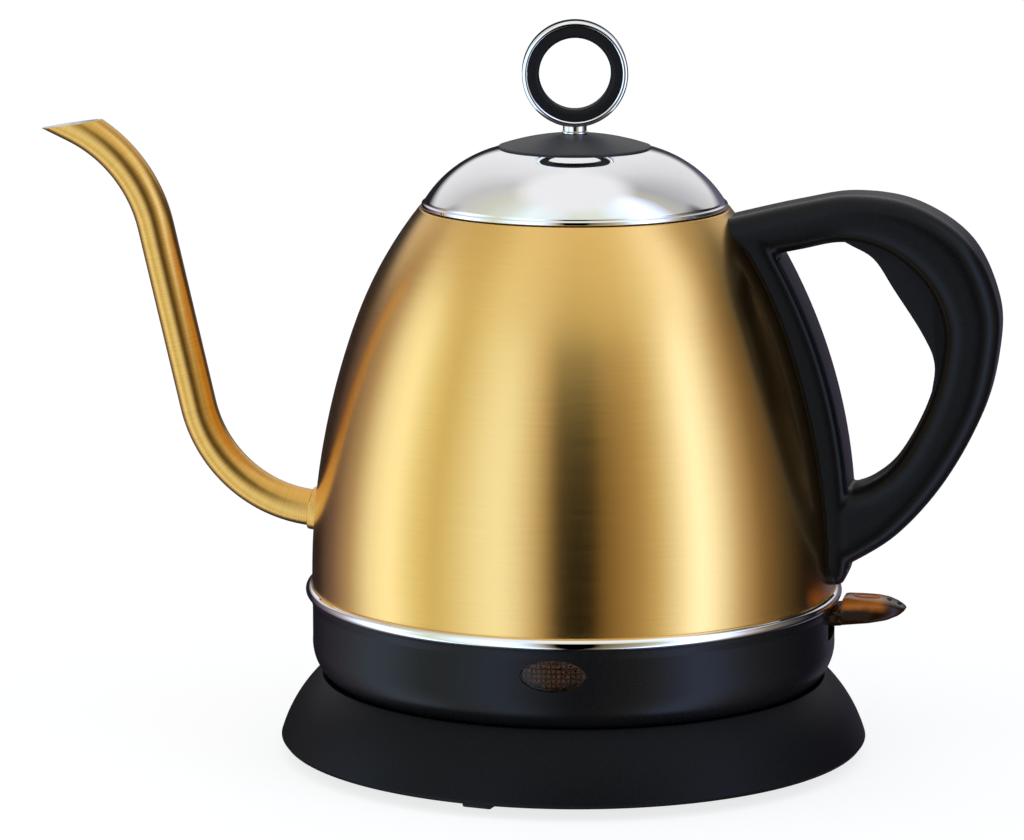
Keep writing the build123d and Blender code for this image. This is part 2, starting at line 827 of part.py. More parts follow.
# ======================================================== handle
strip_face_x = body_radius + strip_depth
strip_bend_z = body_foot_z + 14.0
strip_top = (mouth_radius + 15.2, mouth_z - 11.0)
arm_face_x = strip_face_x + seam_gap
strip_low_z = body_bottom_z + strip_foot_rise
screw_heights = (body_foot_z + 12.0, mouth_z - 20.0)
head_start = nut_height + 0.6  # from the body's wall to the heads of the handle's screws
handle_head_height = 0.9

# Outer and inner points of the grip, in pairs from its root at the mouth to its lower end.
grip_sections = (
    ((mouth_radius + 2.4, mouth_z), (mouth_radius + 4.0, mouth_z - 12.0)),
    ((body_radius - 10.4, mouth_z + 3.9), (body_radius - 9.8, mouth_z - 8.6)),
    ((body_radius + 4.6, mouth_z + 6.4), (body_radius + 2.4, mouth_z - 6.3)),
    ((body_radius + 21.0, mouth_z + 3.9), (body_radius + 14.0, mouth_z - 9.3)),
    ((body_radius + 35.5, mouth_z - 5.7), (body_radius + 23.4, mouth_z - 17.2)),
    ((body_radius + 43.2, mouth_z - 21.5), (body_radius + 28.2, mouth_z - 27.5)),
    ((body_radius + 43.4, mouth_z - 35.7), (body_radius + 27.8, mouth_z - 38.2)),
    ((body_radius + 39.3, body_foot_z + 48.2), (body_radius + 24.2, body_foot_z + 49.5)),
    ((body_radius + 29.5, body_foot_z + 29.6), (body_radius + 17.0, body_foot_z + 36.0)),
    ((body_radius + 17.0, body_foot_z + 15.0), (body_radius + 10.0, body_foot_z + 29.6)),
    ((arm_face_x, body_foot_z + 6.0), (arm_face_x, body_foot_z + 26.5)),
)
grip_middles = [((outer[0] + inner[0]) / 2, (outer[1] + inner[1]) / 2) for outer, inner in grip_sections]

# The finger side of the web that fills the grip's upper corner, from below to above.
web_edge = (
    (body_radius + 25.6, body_foot_z + 53.9),
    (body_radius + 26.8, mouth_z - 38.2),
    (body_radius + 23.7, mouth_z - 30.2),
    (body_radius + 15.8, mouth_z - 18.2),
    (body_radius + 10.4, mouth_z - 10.3),
    (body_radius + 2.7, mouth_z - 6.6),
)


def strip_outline(depth, low_z):
    """Sketch the band between the body's axis side and the strip's face, less depth."""
    low = (strip_face_x - depth, low_z)
    bend = (strip_face_x - depth, strip_bend_z)
    high = (strip_top[0] - depth, strip_top[1])
    with BuildSketch(Plane.XZ) as outline:
        with BuildLine():
            Line(low, bend)
            TangentArc(bend, high, tangent=(0, 1))
            Polyline(high, (mouth_radius - 8, mouth_z - 8), (mouth_radius - 8, low_z), low)
        make_face()
    return outline.sketch


def wall_pin(z, radius, start, length):
    """A level pin along +X that starts this far outside the body's wall at height z."""
    with BuildSketch(Plane.YZ.offset(wall_radius(z) + start)) as section:
        with Locations((0, z)):
            Circle(radius)
    return extrude(section.sketch, amount=length, mode=Mode.PRIVATE)


with BuildPart() as handle_nuts:
    for z in screw_heights:
        add(wall_pin(z, nut_radius, -nut_radius, nut_radius + nut_height))
    add(body_core(0, 0), mode=Mode.SUBTRACT)
    for z in screw_heights:
        add(wall_pin(z, screw_radius, -nut_radius, 2 * nut_radius), mode=Mode.SUBTRACT)

with BuildPart() as handle_screws:
    for z in screw_heights:
        add(wall_pin(z, screw_radius, 1.0, nut_height))
        add(wall_pin(z, screw_head_radius, head_start, handle_head_height))

with BuildPart() as handle_body:
    extrude(strip_outline(cover_depth, strip_low_z), amount=handle_half_width, both=True)
    foot_edges = handle_body.edges().filter_by(Axis.Y).group_by(Axis.X)[-1].group_by(Axis.Z)[0]
    fillet(foot_edges, 2.6)
    for (outer, inner), middle in zip(grip_sections, grip_middles):
        depth = Vector(outer[0] - inner[0], 0, outer[1] - inner[1])
        section_normal = depth.cross(Vector(0, 1, 0))
        with BuildSketch(Plane(origin=(middle[0], 0, middle[1]), x_dir=depth, z_dir=section_normal)):
            RectangleRounded(depth.length, 2 * handle_half_width, handle_corner)
    loft()
    add(body_core(seat_gap, 0), mode=Mode.SUBTRACT)
    with BuildSketch(Plane.XZ):
        with Locations((strip_face_x - cover_depth, 0)):
            Rectangle(
                cover_depth + seam_gap,
                strip_top[1] - 3,
                align=(Align.MIN, Align.MIN),
            )
    extrude(amount=2 * handle_half_width, both=True, mode=Mode.SUBTRACT)
    for z in screw_heights:
        add(wall_pin(z, nut_radius + seat_gap, -nut_radius, nut_radius + nut_height), mode=Mode.SUBTRACT)
        add(wall_pin(z, screw_radius + seat_gap, 0, nut_height + 1.0), mode=Mode.SUBTRACT)
        add(wall_pin(z, screw_head_radius + seat_gap, head_start, 20), mode=Mode.SUBTRACT)

with BuildPart() as handle_cover:
    with BuildSketch(Plane.XZ):
        with BuildLine():
            cover_low_z = body_foot_z + 2.5
            back_x = strip_face_x - cover_depth
            top_back = (strip_top[0] - cover_depth, strip_top[1])
            Line((back_x, cover_low_z), (strip_face_x, cover_low_z))
            Line((strip_face_x, cover_low_z), (strip_face_x, strip_bend_z))
            TangentArc((strip_face_x, strip_bend_z), strip_top, tangent=(0, 1))
            Line(strip_top, top_back)
            TangentArc((back_x, strip_bend_z), top_back, tangent=(0, 1))
            Line((back_x, strip_bend_z), (back_x, cover_low_z))
        make_face()
    extrude(amount=inset_half_width, both=True)
    add(handle_body.part, mode=Mode.SUBTRACT)
    for z in screw_heights:
        head_room = screw_head_radius + seat_gap
        add(wall_pin(z, head_room, head_start, handle_head_height + seat_gap), mode=Mode.SUBTRACT)

with BuildPart() as grip_liner:
    with BuildSketch(Plane.XZ):
        with BuildLine():
            Spline(*web_edge)
            Polyline(web_edge[-1], *grip_middles[2:8], web_edge[0])
        make_face()
    extrude(amount=inset_half_width, both=True)
    add(handle_body.part, mode=Mode.SUBTRACT)

# ======================================================== lid
dome_top_z = lid_z + lid_sheet + lid_rise
cap_z = dome_top_z + seat_gap
skirt_radius = mouth_bore - 2 * moving_gap - seal_wall
pan_z = lid_z + lid_sheet + seat_gap
seal_low_z = mouth_top_z - 5.5

with BuildPart() as lid_dome:
    with BuildSketch(Plane.XZ):
        with BuildLine():
            rim_top = (lid_radius - 0.3, lid_z + lid_sheet)
            dome_middle = (lid_radius - 9.1, lid_z + lid_sheet + 9.6)
            cap_edge = (cap_radius, dome_top_z)
            ThreePointArc(rim_top, dome_middle, cap_edge)
            Polyline(
                cap_edge,
                (screw_radius + 0.2, dome_top_z),
                (screw_radius + 0.2, dome_top_z - lid_sheet),
                (cap_radius - 0.3, dome_top_z - lid_sheet),
            )
            ThreePointArc(
                (cap_radius - 0.3, dome_top_z - lid_sheet),
                (dome_middle[0] - 0.56, dome_middle[1] - 0.57),
                (lid_radius - 1.3, lid_z + lid_sheet),
            )
            Polyline(
                (lid_radius - 1.3, lid_z + lid_sheet),
                (skirt_radius + 0.8, lid_z + lid_sheet),
                (skirt_radius + 0.8, lid_z),
                (lid_radius, lid_z),
                (lid_radius, lid_z + 0.5),
                rim_top,
            )
        make_face()
    revolve(axis=Axis.Z)

with BuildPart() as lid_inner:
    pan_low_z = mouth_top_z - skirt_depth
    add(
        turned(
            (0, pan_low_z),
            (skirt_radius, pan_low_z),
            (skirt_radius, pan_z),
            (skirt_radius + 2.6, pan_z),
            (skirt_radius + 2.6, pan_z + 0.7),
            (skirt_radius - lid_sheet, pan_z + 0.7),
            (skirt_radius - lid_sheet, pan_low_z + lid_sheet),
            (0, pan_low_z + lid_sheet),
        )
    )

with BuildPart() as lid_seal:
    add(
        tube_ring(
            skirt_radius + moving_gap,
            skirt_radius + moving_gap + seal_wall,
            seal_low_z,
            mouth_top_z - 0.2,
        )
    )

with BuildPart() as lid_cap:
    with BuildSketch(Plane.XZ):
        with BuildLine():
            cap_rim = (cap_radius, cap_z + 0.4)
            cap_peak = (neck_radius + 0.6, cap_z + cap_height)
            Polyline((screw_radius + 0.2, cap_z), (cap_radius, cap_z), cap_rim)
            ThreePointArc(cap_rim, (0.56 * cap_radius, cap_z + 0.75 * cap_height), cap_peak)
            Polyline(cap_peak, (screw_radius + 0.2, cap_peak[1]), (screw_radius + 0.2, cap_z))
        make_face()
    revolve(axis=Axis.Z)

neck_low_z = cap_z + cap_height + seat_gap
ring_z = neck_low_z + neck_length + ring_outer - 0.4
knob_plane = Plane(
    origin=(0, 0, ring_z),
    x_dir=(cos(radians(lid_turn)), sin(radians(lid_turn)), 0),
    z_dir=(sin(radians(lid_turn)), -cos(radians(lid_turn)), 0),
)

with BuildPart() as knob_ring:
    with BuildSketch(Plane.XY.offset(neck_low_z)):
        Circle(neck_radius)
    extrude(amount=neck_length + 2)
    with BuildSketch(knob_plane):
        Circle(ring_outer)
    extrude(amount=ring_depth / 2, both=True)
    bezel_edges = knob_ring.edges().filter_by(GeomType.CIRCLE).group_by(SortBy.RADIUS)[-1]
    fillet(bezel_edges, 1.0)
    with BuildSketch(knob_plane):
        Circle(ring_outer - ring_bezel)
    extrude(amount=ring_depth, both=True, mode=Mode.SUBTRACT)
    with BuildSketch(Plane.XY.offset(neck_low_z - 1)):
        Circle(screw_radius)
    extrude(amount=neck_length + 1, mode=Mode.SUBTRACT)

with BuildPart() as knob_insert:
    with BuildSketch(knob_plane):
        Circle(ring_outer - ring_bezel - seat_gap)
        Circle(ring_hole, mode=Mode.SUBTRACT)
    extrude(amount=ring_depth / 2 - 0.5, both=True)
    insert_edges = knob_insert.edges().filter_by(GeomType.CIRCLE).group_by(SortBy.RADIUS)[0]
    fillet(insert_edges, 1.0)

with BuildPart() as knob_screw:
    with BuildSketch(Plane.XY.offset(dome_top_z - lid_sheet)):
        Circle(screw_radius)
    extrude(amount=neck_low_z + neck_length - 1 - dome_top_z + lid_sheet)
    with BuildSketch(Plane.XY.offset(dome_top_z - lid_sheet)):
        Circle(screw_head_radius)
    extrude(amount=-screw_head_height)

# ======================================================== labels and files
pieces = {
    "base_cover": base_cover,
    "base_plate": base_plate,
    "base_feet": base_feet,
    "base_screws": base_screws,
    "cord_gland": cord_gland,
    "power_hub": power_hub,
    "base_contacts": base_contacts,
    "socket_shroud": socket_shroud,
    "contact_rings": contact_rings,
    "body_shell": body_shell,
    "trim_ring": trim_ring,
    "heater_plate": heater_plate,
    "steam_tube": steam_tube,
    "diffuser_plate": diffuser_plate,
    "heating_element": heating_element,
    "control_body": control_body,
    "bimetal_discs": bimetal_discs,
    "control_screws": control_screws,
    "steam_cup": steam_cup,
    "steam_bimetal": steam_bimetal,
    "switch_lever": switch_lever,
    "switch_block": switch_block,
    "switch_pin": switch_pin,
    "switch_spring": switch_spring,
    "housing_shell": housing_shell,
    "housing_screws": housing_screws,
    "indicator_lens": indicator_lens,
    "lamp_holder": lamp_holder,
    "lamp_bulb": lamp_bulb,
    "spout_tube": spout_tube,
    "spout_collar": spout_collar,
    "lead_wires": lead_wires,
    "handle_nuts": handle_nuts,
    "handle_screws": handle_screws,
    "handle_body": handle_body,
    "handle_cover": handle_cover,
    "grip_liner": grip_liner,
    "lid_dome": lid_dome,
    "lid_inner": lid_inner,
    "lid_seal": lid_seal,
    "lid_cap": lid_cap,
    "knob_ring": knob_ring,
    "knob_insert": knob_insert,
    "knob_screw": knob_screw,
}
os.makedirs("parts", exist_ok=True)
for label, piece in pieces.items():
    piece.part.label = label
    export_step(piece.part, f"parts/{label}.step")
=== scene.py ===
import json
import math

import bmesh
import bpy
from bpy.props import FloatProperty, FloatVectorProperty, IntProperty, PointerProperty
from mathutils import Matrix, Vector


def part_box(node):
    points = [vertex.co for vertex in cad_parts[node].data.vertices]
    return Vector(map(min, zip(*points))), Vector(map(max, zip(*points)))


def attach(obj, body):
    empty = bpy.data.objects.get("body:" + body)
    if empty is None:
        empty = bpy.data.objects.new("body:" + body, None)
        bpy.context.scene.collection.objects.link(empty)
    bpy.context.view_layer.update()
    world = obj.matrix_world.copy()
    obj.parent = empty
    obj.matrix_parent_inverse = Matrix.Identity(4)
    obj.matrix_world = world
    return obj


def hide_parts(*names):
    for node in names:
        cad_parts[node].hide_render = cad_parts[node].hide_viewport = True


# Electric gooseneck kettle on its round power base. The CAD frame gives every place; this file
# makes the visible shells, mouldings and finishes. Outlines are drawn in millimetres, as (distance
# from the axis, height), and become metres when their mesh is made.

bl_info = {
    "name": "Gooseneck kettle",
    "version": (1, 0, 0),
    "blender": (4, 5, 0),
    "location": "View3D > Sidebar > Kettle",
    "description": "Shells, mouldings and finishes of an electric gooseneck kettle",
    "category": "Add Mesh",
}

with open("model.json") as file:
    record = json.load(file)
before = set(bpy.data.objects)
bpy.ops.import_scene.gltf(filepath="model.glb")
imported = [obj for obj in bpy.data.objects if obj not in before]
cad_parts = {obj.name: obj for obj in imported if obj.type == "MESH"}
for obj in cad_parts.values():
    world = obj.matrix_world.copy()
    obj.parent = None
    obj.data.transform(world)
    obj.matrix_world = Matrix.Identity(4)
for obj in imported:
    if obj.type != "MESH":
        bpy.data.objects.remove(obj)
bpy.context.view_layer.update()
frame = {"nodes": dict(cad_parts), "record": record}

MM = 0.001


def box_mm(node):
    """Lowest and highest corner of a CAD node, in millimetres."""
    low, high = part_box(node)
    return low / MM, high / MM


# ---- sizes read from the frame
BODY_LOW, BODY_HIGH = box_mm("body_shell")
TRIM_LOW, TRIM_HIGH = box_mm("trim_ring")
HOUSING_LOW, HOUSING_HIGH = box_mm("housing_shell")
COVER_LOW, COVER_HIGH = box_mm("base_cover")
DOME_LOW, DOME_HIGH = box_mm("lid_dome")
CAP_LOW, CAP_HIGH = box_mm("lid_cap")
RING_LOW, RING_HIGH = box_mm("knob_ring")
LEVER_LOW, LEVER_HIGH = box_mm("switch_lever")
LENS_LOW, LENS_HIGH = box_mm("indicator_lens")
STRIP_LOW = box_mm("handle_body")[0]
FEET_LOW, FEET_HIGH = box_mm("base_feet")

# ---- body
BODY_RADIUS = BODY_HIGH.x
FOOT_Z = 48.0
WAIST = (BODY_RADIUS - 12.25, 118.0)
MOUTH = (BODY_RADIUS - 28.9, 148.2)
WALL = 0.8
MOUTH_BORE = 37.5
NECK_DEPTH = 4.0

# ---- housing and power base
HOUSING_WALL = 2.2
HOUSING_BORE = 19.1
SLOT = ((62.0, 33.8, 1.2), (80.0, 33.8, 1.2), (80.0, 50.0), (62.0, 50.0))
SLOT_HALF_WIDTH = 7.8
HOUSING_SCREW_CIRCLE = 34.0
HOUSING_SCREW_TURNS = (30, 150, 270)
SKIRT_SPREAD = 11.0
DECK_GAP = 0.3
DECK_THICKNESS = 2.2
HUB_BORE = 16.05
FOOT_DEPTH = 6.0
FOOT_WIDTH = 8.0
FOOT_OUTER_RADIUS = 72.0
FIRST_FOOT_TURN = -100.8

# ---- spout
SPOUT_RADIUS = 5.0
SPOUT_WALL = 0.8
SPOUT_ROOT_Z = 63.4
SPOUT_ROOT_RISE = 8.0
SPOUT_LEAN = 13.0
SPOUT_LOWER_BEND = 36.0
SPOUT_STRAIGHT = 50.6
SPOUT_UPPER_BEND = 40.0
SPOUT_UPPER_TURN = 52.0
SPOUT_MOUTH_SLOPE = 9.0
COLLAR_LENGTH = 2.6
COLLAR_WALL = 0.9

# ---- handle
HANDLE_HALF_WIDTH = 11.0
INSET_HALF_WIDTH = 8.5
STRIP_FACE = BODY_RADIUS + 4.5
STRIP_BEND_Z = FOOT_Z + 14.0
STRIP_TOP = (MOUTH[0] + 13.6, MOUTH[1] - 11.0)
COVER_DEPTH = 1.8

# ---- lamp window and lid
WINDOW_TURN = 5.4
WINDOW_Z = (LENS_LOW.z + LENS_HIGH.z) / 2
WINDOW_HALF = (8.35, 3.9)
WINDOW_GAP = 0.3
LID_TURN = 10.5
RING_OUTER = 14.2
RING_BEZEL = 1.4
RING_HOLE = 9.6
RING_DEPTH = 8.0
RING_Z = RING_HIGH.z - RING_OUTER
LID_SHEET = 0.8
KNOB_SCREW_HOLE = 1.7

# ---- camera, in degrees and metres
CAMERA_LENS = 158.2
CAMERA_PLACE = (0.2023, -1.1839, 0.3079)
CAMERA_DOWN = 10.256
CAMERA_TURN = 10.5
CAMERA_AZIMUTH = math.atan2(CAMERA_PLACE[1], CAMERA_PLACE[0])

# ---- faces and sockets
SEGMENTS_FINE = 320  # round the pieces whose edge is seen large
MIX_FACTOR, MIX_A, MIX_B = 0, 6, 7  # a colour Mix node's inputs


# ============================================================ outlines
def arc_through(start, middle, end, steps):
    """Points of the arc through three points, ends included."""
    (ax, az), (bx, bz), (cx, cz) = start, middle, end
    scale = 2 * (ax * (bz - cz) + bx * (cz - az) + cx * (az - bz))
    a2, b2, c2 = ax * ax + az * az, bx * bx + bz * bz, cx * cx + cz * cz
    ox = (a2 * (bz - cz) + b2 * (cz - az) + c2 * (az - bz)) / scale
    oz = (a2 * (cx - bx) + b2 * (ax - cx) + c2 * (bx - ax)) / scale
    radius = math.hypot(ax - ox, az - oz)
    first = math.atan2(az - oz, ax - ox)
    sweep = math.atan2(cz - oz, cx - ox) - first
    past = math.atan2(bz - oz, bx - ox) - first
    sweep %= math.tau
    if past % math.tau > sweep:
        sweep -= math.tau
    turns = [first + sweep * step / steps for step in range(steps + 1)]
    return [(ox + radius * math.cos(turn), oz + radius * math.sin(turn)) for turn in turns]


def arc_along(start, heading, end, steps):
    """Points of the arc that leaves start along heading and ends at end."""
    start, end = Vector(start), Vector(end)
    side = Vector((-heading[1], heading[0])).normalized()
    chord = end - start
    radius = chord.length_squared / (2 * chord.dot(side))
    centre = start + side * radius
    middle_direction = ((start - centre).normalized() + (end - centre).normalized()).normalized()
    middle = centre + middle_direction * abs(radius)
    return arc_through(tuple(start), tuple(middle), tuple(end), steps)


def rounded(corners, step=11.0):
    """Close an outline; a corner's third number, if it has one, is the radius that rounds it."""
    points = []
    count = len(corners)
    for index, corner in enumerate(corners):
        here = Vector(corner[:2])
        radius = corner[2] if len(corner) > 2 else 0.0
        if not radius:
            points.append(tuple(here))
            continue
        back = (Vector(corners[index - 1][:2]) - here).normalized()
        ahead = (Vector(corners[(index + 1) % count][:2]) - here).normalized()
        half = back.angle(ahead) / 2
        centre = here + (back + ahead).normalized() * (radius / math.sin(half))
        first = here + back * (radius / math.tan(half)) - centre
        last = here + ahead * (radius / math.tan(half)) - centre
        sweep = math.atan2(first.x * last.y - first.y * last.x, first.dot(last))
        steps = max(2, math.ceil(math.degrees(abs(sweep)) / step))
        for part in range(steps + 1):
            turn = sweep * part / steps
            x = first.x * math.cos(turn) - first.y * math.sin(turn)
            z = first.x * math.sin(turn) + first.y * math.cos(turn)
            points.append((centre.x + x, centre.y + z))
    return points + points[:1]


def circle(radius, sides, height=0.0):
    """Points round a circle whose centre is on the axis at this height."""
    turns = [part * math.tau / sides for part in range(sides)]
    return [(radius * math.cos(turn), height + radius * math.sin(turn)) for turn in turns]


def radius_at(line, z):
    """Radius at height z of a line of (radius, z) points, or None beyond its ends."""
    for (r0, z0), (r1, z1) in zip(line, line[1:]):
        if z0 <= z <= z1:
            return r0 + (r1 - r0) * (z - z0) / (z1 - z0)
    return None


def body_side(offset, steps=44):
    """The body's side from foot to mouth, moved square to itself by offset."""
    waist_lean = 2 * math.atan2(BODY_RADIUS - WAIST[0], WAIST[1] - FOOT_Z)
    shoulder_chord = math.atan2(WAIST[0] - MOUTH[0], MOUTH[1] - WAIST[1])
    mouth_lean = 2 * shoulder_chord - waist_lean
    foot = (BODY_RADIUS + offset, FOOT_Z)
    waist = (WAIST[0] + offset * math.cos(waist_lean), WAIST[1] + offset * math.sin(waist_lean))
    mouth = (MOUTH[0] + offset * math.cos(mouth_lean), MOUTH[1] + offset * math.sin(mouth_lean))
    heading = (-math.sin(waist_lean), math.cos(waist_lean))
    return arc_along(foot, (0, 1), waist, steps) + arc_along(waist, heading, mouth, steps // 2)[1:]


def wall_radius(z):
    """Outer radius of the body at height z."""
    if z <= FOOT_Z:
        return BODY_RADIUS
    side = body_side(0)
    found = radius_at(side, z)
    return side[-1][0] if found is None else found


def smooth_line(points, steps):
    """A smooth line through the points, with this many steps between each two."""
    line = []
    for index in range(len(points) - 1):
        before = Vector(points[max(index - 1, 0)])
        here, there = Vector(points[index]), Vector(points[index + 1])
        after = Vector(points[min(index + 2, len(points) - 1)])
        for step in range(steps):
            t = step / steps
            pull = here * 2 + (there - before) * t
            pull += (before * 2 - here * 5 + there * 4 - after) * t * t
            pull += (here * 3 - before - there * 3 + after) * t * t * t
            line.append(pull / 2)
    return line + [Vector(points[-1])]


# ============================================================ node helpers
def feed(tree, node, inputs):
    """Give a node's inputs constants, or other nodes' outputs to read."""
    for name, value in inputs.items():
        if isinstance(value, bpy.types.NodeSocket):
            tree.links.new(value, node.inputs[name])
        else:
            node.inputs[name].default_value = value


def add_node(tree, kind, inputs=None, **settings):
    """Add a node with its settings and inputs."""
    made = tree.nodes.new(kind)
    for name, value in settings.items():
        setattr(made, name, value)
    feed(tree, made, inputs or {})
    return made


def maths(tree, operation, *inputs):
    """The output of a Math node over numbers or sockets."""
    made = add_node(tree, "ShaderNodeMath", dict(enumerate(inputs)), operation=operation)
    return made.outputs[0]


def eased(tree, value, low, high, first=0.0, last=1.0):
    """A number that goes smoothly from first to last while the value goes from low to high."""
    inputs = {"Value": value, "From Min": low, "From Max": high, "To Min": first, "To Max": last}
    made = add_node(tree, "ShaderNodeMapRange", inputs, interpolation_type="SMOOTHSTEP")
    return made.outputs["Result"]


def new_tree(name, sockets):
    """A Geometry Nodes tree that takes Geometry and the named sockets and gives Geometry."""
    tree = bpy.data.node_groups.new(name, "GeometryNodeTree")
    tree.interface.new_socket("Geometry", in_out="INPUT", socket_type="NodeSocketGeometry")
    for label, kind in sockets:
        tree.interface.new_socket(label, in_out="INPUT", socket_type=kind)
    tree.interface.new_socket("Geometry", in_out="OUTPUT", socket_type="NodeSocketGeometry")
    return tree, tree.nodes.new("NodeGroupInput"), tree.nodes.new("NodeGroupOutput")


def end_tree(tree, start, end, geometry):
    """End a tree in Realize Instances and Set Material."""
    real = add_node(tree, "GeometryNodeRealizeInstances", {"Geometry": geometry})
    finished = add_node(
        tree,
        "GeometryNodeSetMaterial",
        {"Geometry": real.outputs["Geometry"], "Material": start.outputs["Material"]},
    )
    tree.links.new(finished.outputs["Geometry"], end.inputs["Geometry"])
    return tree


def turning_tree():
    """Turn an outline drawn in the XZ plane about the Z axis, with a UV map round it."""
    sockets = (("Segments", "NodeSocketInt"), ("Material", "NodeSocketMaterial"))
    tree, start, end = new_tree("Turn outline", sockets)
    outline = start.outputs["Geometry"]
    size = add_node(tree, "GeometryNodeAttributeDomainSize", {"Geometry": outline})
    count = size.outputs["Point Count"]
    segments = start.outputs["Segments"]
    grid = add_node(
        tree,
        "GeometryNodeMeshGrid",
        {"Vertices X": maths(tree, "ADD", segments, 1), "Vertices Y": count},
    )
    index = add_node(tree, "GeometryNodeInputIndex").outputs[0]
    column = maths(tree, "FLOOR", maths(tree, "DIVIDE", index, count))
    row = maths(tree, "SUBTRACT", index, maths(tree, "MULTIPLY", column, count))
    share = maths(tree, "DIVIDE", column, segments)
    angle = maths(tree, "MULTIPLY", share, math.tau)
    place = add_node(tree, "GeometryNodeInputPosition").outputs[0]
    corner = add_node(
        tree,
        "GeometryNodeSampleIndex",
        {"Geometry": outline, "Value": place, "Index": row},
        data_type="FLOAT_VECTOR",
    )
    parts = add_node(tree, "ShaderNodeSeparateXYZ", {"Vector": corner.outputs["Value"]})
    x = maths(tree, "MULTIPLY", parts.outputs["X"], maths(tree, "COSINE", angle))
    y = maths(tree, "MULTIPLY", parts.outputs["X"], maths(tree, "SINE", angle))
    turned_inputs = {"X": x, "Y": y, "Z": parts.outputs["Z"]}
    turned_place = add_node(tree, "ShaderNodeCombineXYZ", turned_inputs)
    read_along = add_node(
        tree, "GeometryNodeInputNamedAttribute", {"Name": "along"}, data_type="FLOAT"
    )
    along = add_node(
        tree,
        "GeometryNodeSampleIndex",
        {"Geometry": outline, "Value": read_along.outputs["Attribute"], "Index": row},
        data_type="FLOAT",
    )
    map_place = add_node(tree, "ShaderNodeCombineXYZ", {"X": share, "Y": along.outputs["Value"]})
    stored = add_node(
        tree,
        "GeometryNodeStoreNamedAttribute",
        {"Geometry": grid.outputs["Mesh"], "Name": "map_place", "Value": map_place.outputs[0]},
        data_type="FLOAT_VECTOR",
        domain="POINT",
    )
    shaped = add_node(
        tree,
        "GeometryNodeSetPosition",
        {"Geometry": stored.outputs["Geometry"], "Position": turned_place.outputs[0]},
    )
    read_map = add_node(
        tree, "GeometryNodeInputNamedAttribute", {"Name": "map_place"}, data_type="FLOAT_VECTOR"
    )
    mapped = add_node(
        tree,
        "GeometryNodeStoreNamedAttribute",
        {
            "Geometry": shaped.outputs["Geometry"],
            "Name": "UVMap",
            "Value": read_map.outputs["Attribute"],
        },
        data_type="FLOAT2",
        domain="CORNER",
    )
    clean = add_node(
        tree,
        "GeometryNodeRemoveAttribute",
        {"Geometry": mapped.outputs["Geometry"], "Name": "map_place"},
    )
    merged = add_node(
        tree,
        "GeometryNodeMergeByDistance",
        {"Geometry": clean.outputs["Geometry"], "Distance": 1e-6},
    )
    return end_tree(tree, start, end, merged.outputs["Geometry"])


def tube_tree():
    """Run a round tube along a path of edges; its UV map's V is the distance along it."""
    sockets = (
        ("Radius", "NodeSocketFloat"),
        ("Sides", "NodeSocketInt"),
        ("Material", "NodeSocketMaterial"),
    )
    tree, start, end = new_tree("Tube along path", sockets)
    path = add_node(tree, "GeometryNodeMeshToCurve", {"Mesh": start.outputs["Geometry"]})
    length = add_node(tree, "GeometryNodeSplineParameter").outputs["Length"]
    place = add_node(tree, "ShaderNodeCombineXYZ", {"Y": length})
    measured = add_node(
        tree,
        "GeometryNodeStoreNamedAttribute",
        {"Geometry": path.outputs["Curve"], "Name": "UVMap", "Value": place.outputs[0]},
        data_type="FLOAT2",
        domain="POINT",
    )
    circle = add_node(
        tree,
        "GeometryNodeCurvePrimitiveCircle",
        {"Resolution": start.outputs["Sides"], "Radius": start.outputs["Radius"]},
    )
    tube = add_node(
        tree,
        "GeometryNodeCurveToMesh",
        {"Curve": measured.outputs["Geometry"], "Profile Curve": circle.outputs["Curve"]},
    )
    return end_tree(tree, start, end, tube.outputs["Mesh"])


def circle_tree():
    """Repeat a piece round the Z axis, turning each copy to face outwards."""
    sockets = (
        ("Count", "NodeSocketInt"),
        ("Radius", "NodeSocketFloat"),
        ("First Angle", "NodeSocketFloat"),
        ("Material", "NodeSocketMaterial"),
    )
    tree, start, end = new_tree("Repeat in a circle", sockets)
    index = add_node(tree, "GeometryNodeInputIndex").outputs[0]
    share = maths(tree, "DIVIDE", index, start.outputs["Count"])
    turn = maths(tree, "MULTIPLY_ADD", share, math.tau, start.outputs["First Angle"])
    radius = start.outputs["Radius"]
    place = add_node(
        tree,
        "ShaderNodeCombineXYZ",
        {
            "X": maths(tree, "MULTIPLY", radius, maths(tree, "COSINE", turn)),
            "Y": maths(tree, "MULTIPLY", radius, maths(tree, "SINE", turn)),
        },
    )
    spots = add_node(
        tree,
        "GeometryNodePoints",
        {"Count": start.outputs["Count"], "Position": place.outputs[0]},
    )
    facing = add_node(tree, "ShaderNodeCombineXYZ", {"Z": turn})
    copies = add_node(
        tree,
        "GeometryNodeInstanceOnPoints",
        {
            "Points": spots.outputs["Points"],
            "Instance": start.outputs["Geometry"],
            "Rotation": facing.outputs[0],
        },
    )
    return end_tree(tree, start, end, copies.outputs["Instances"])


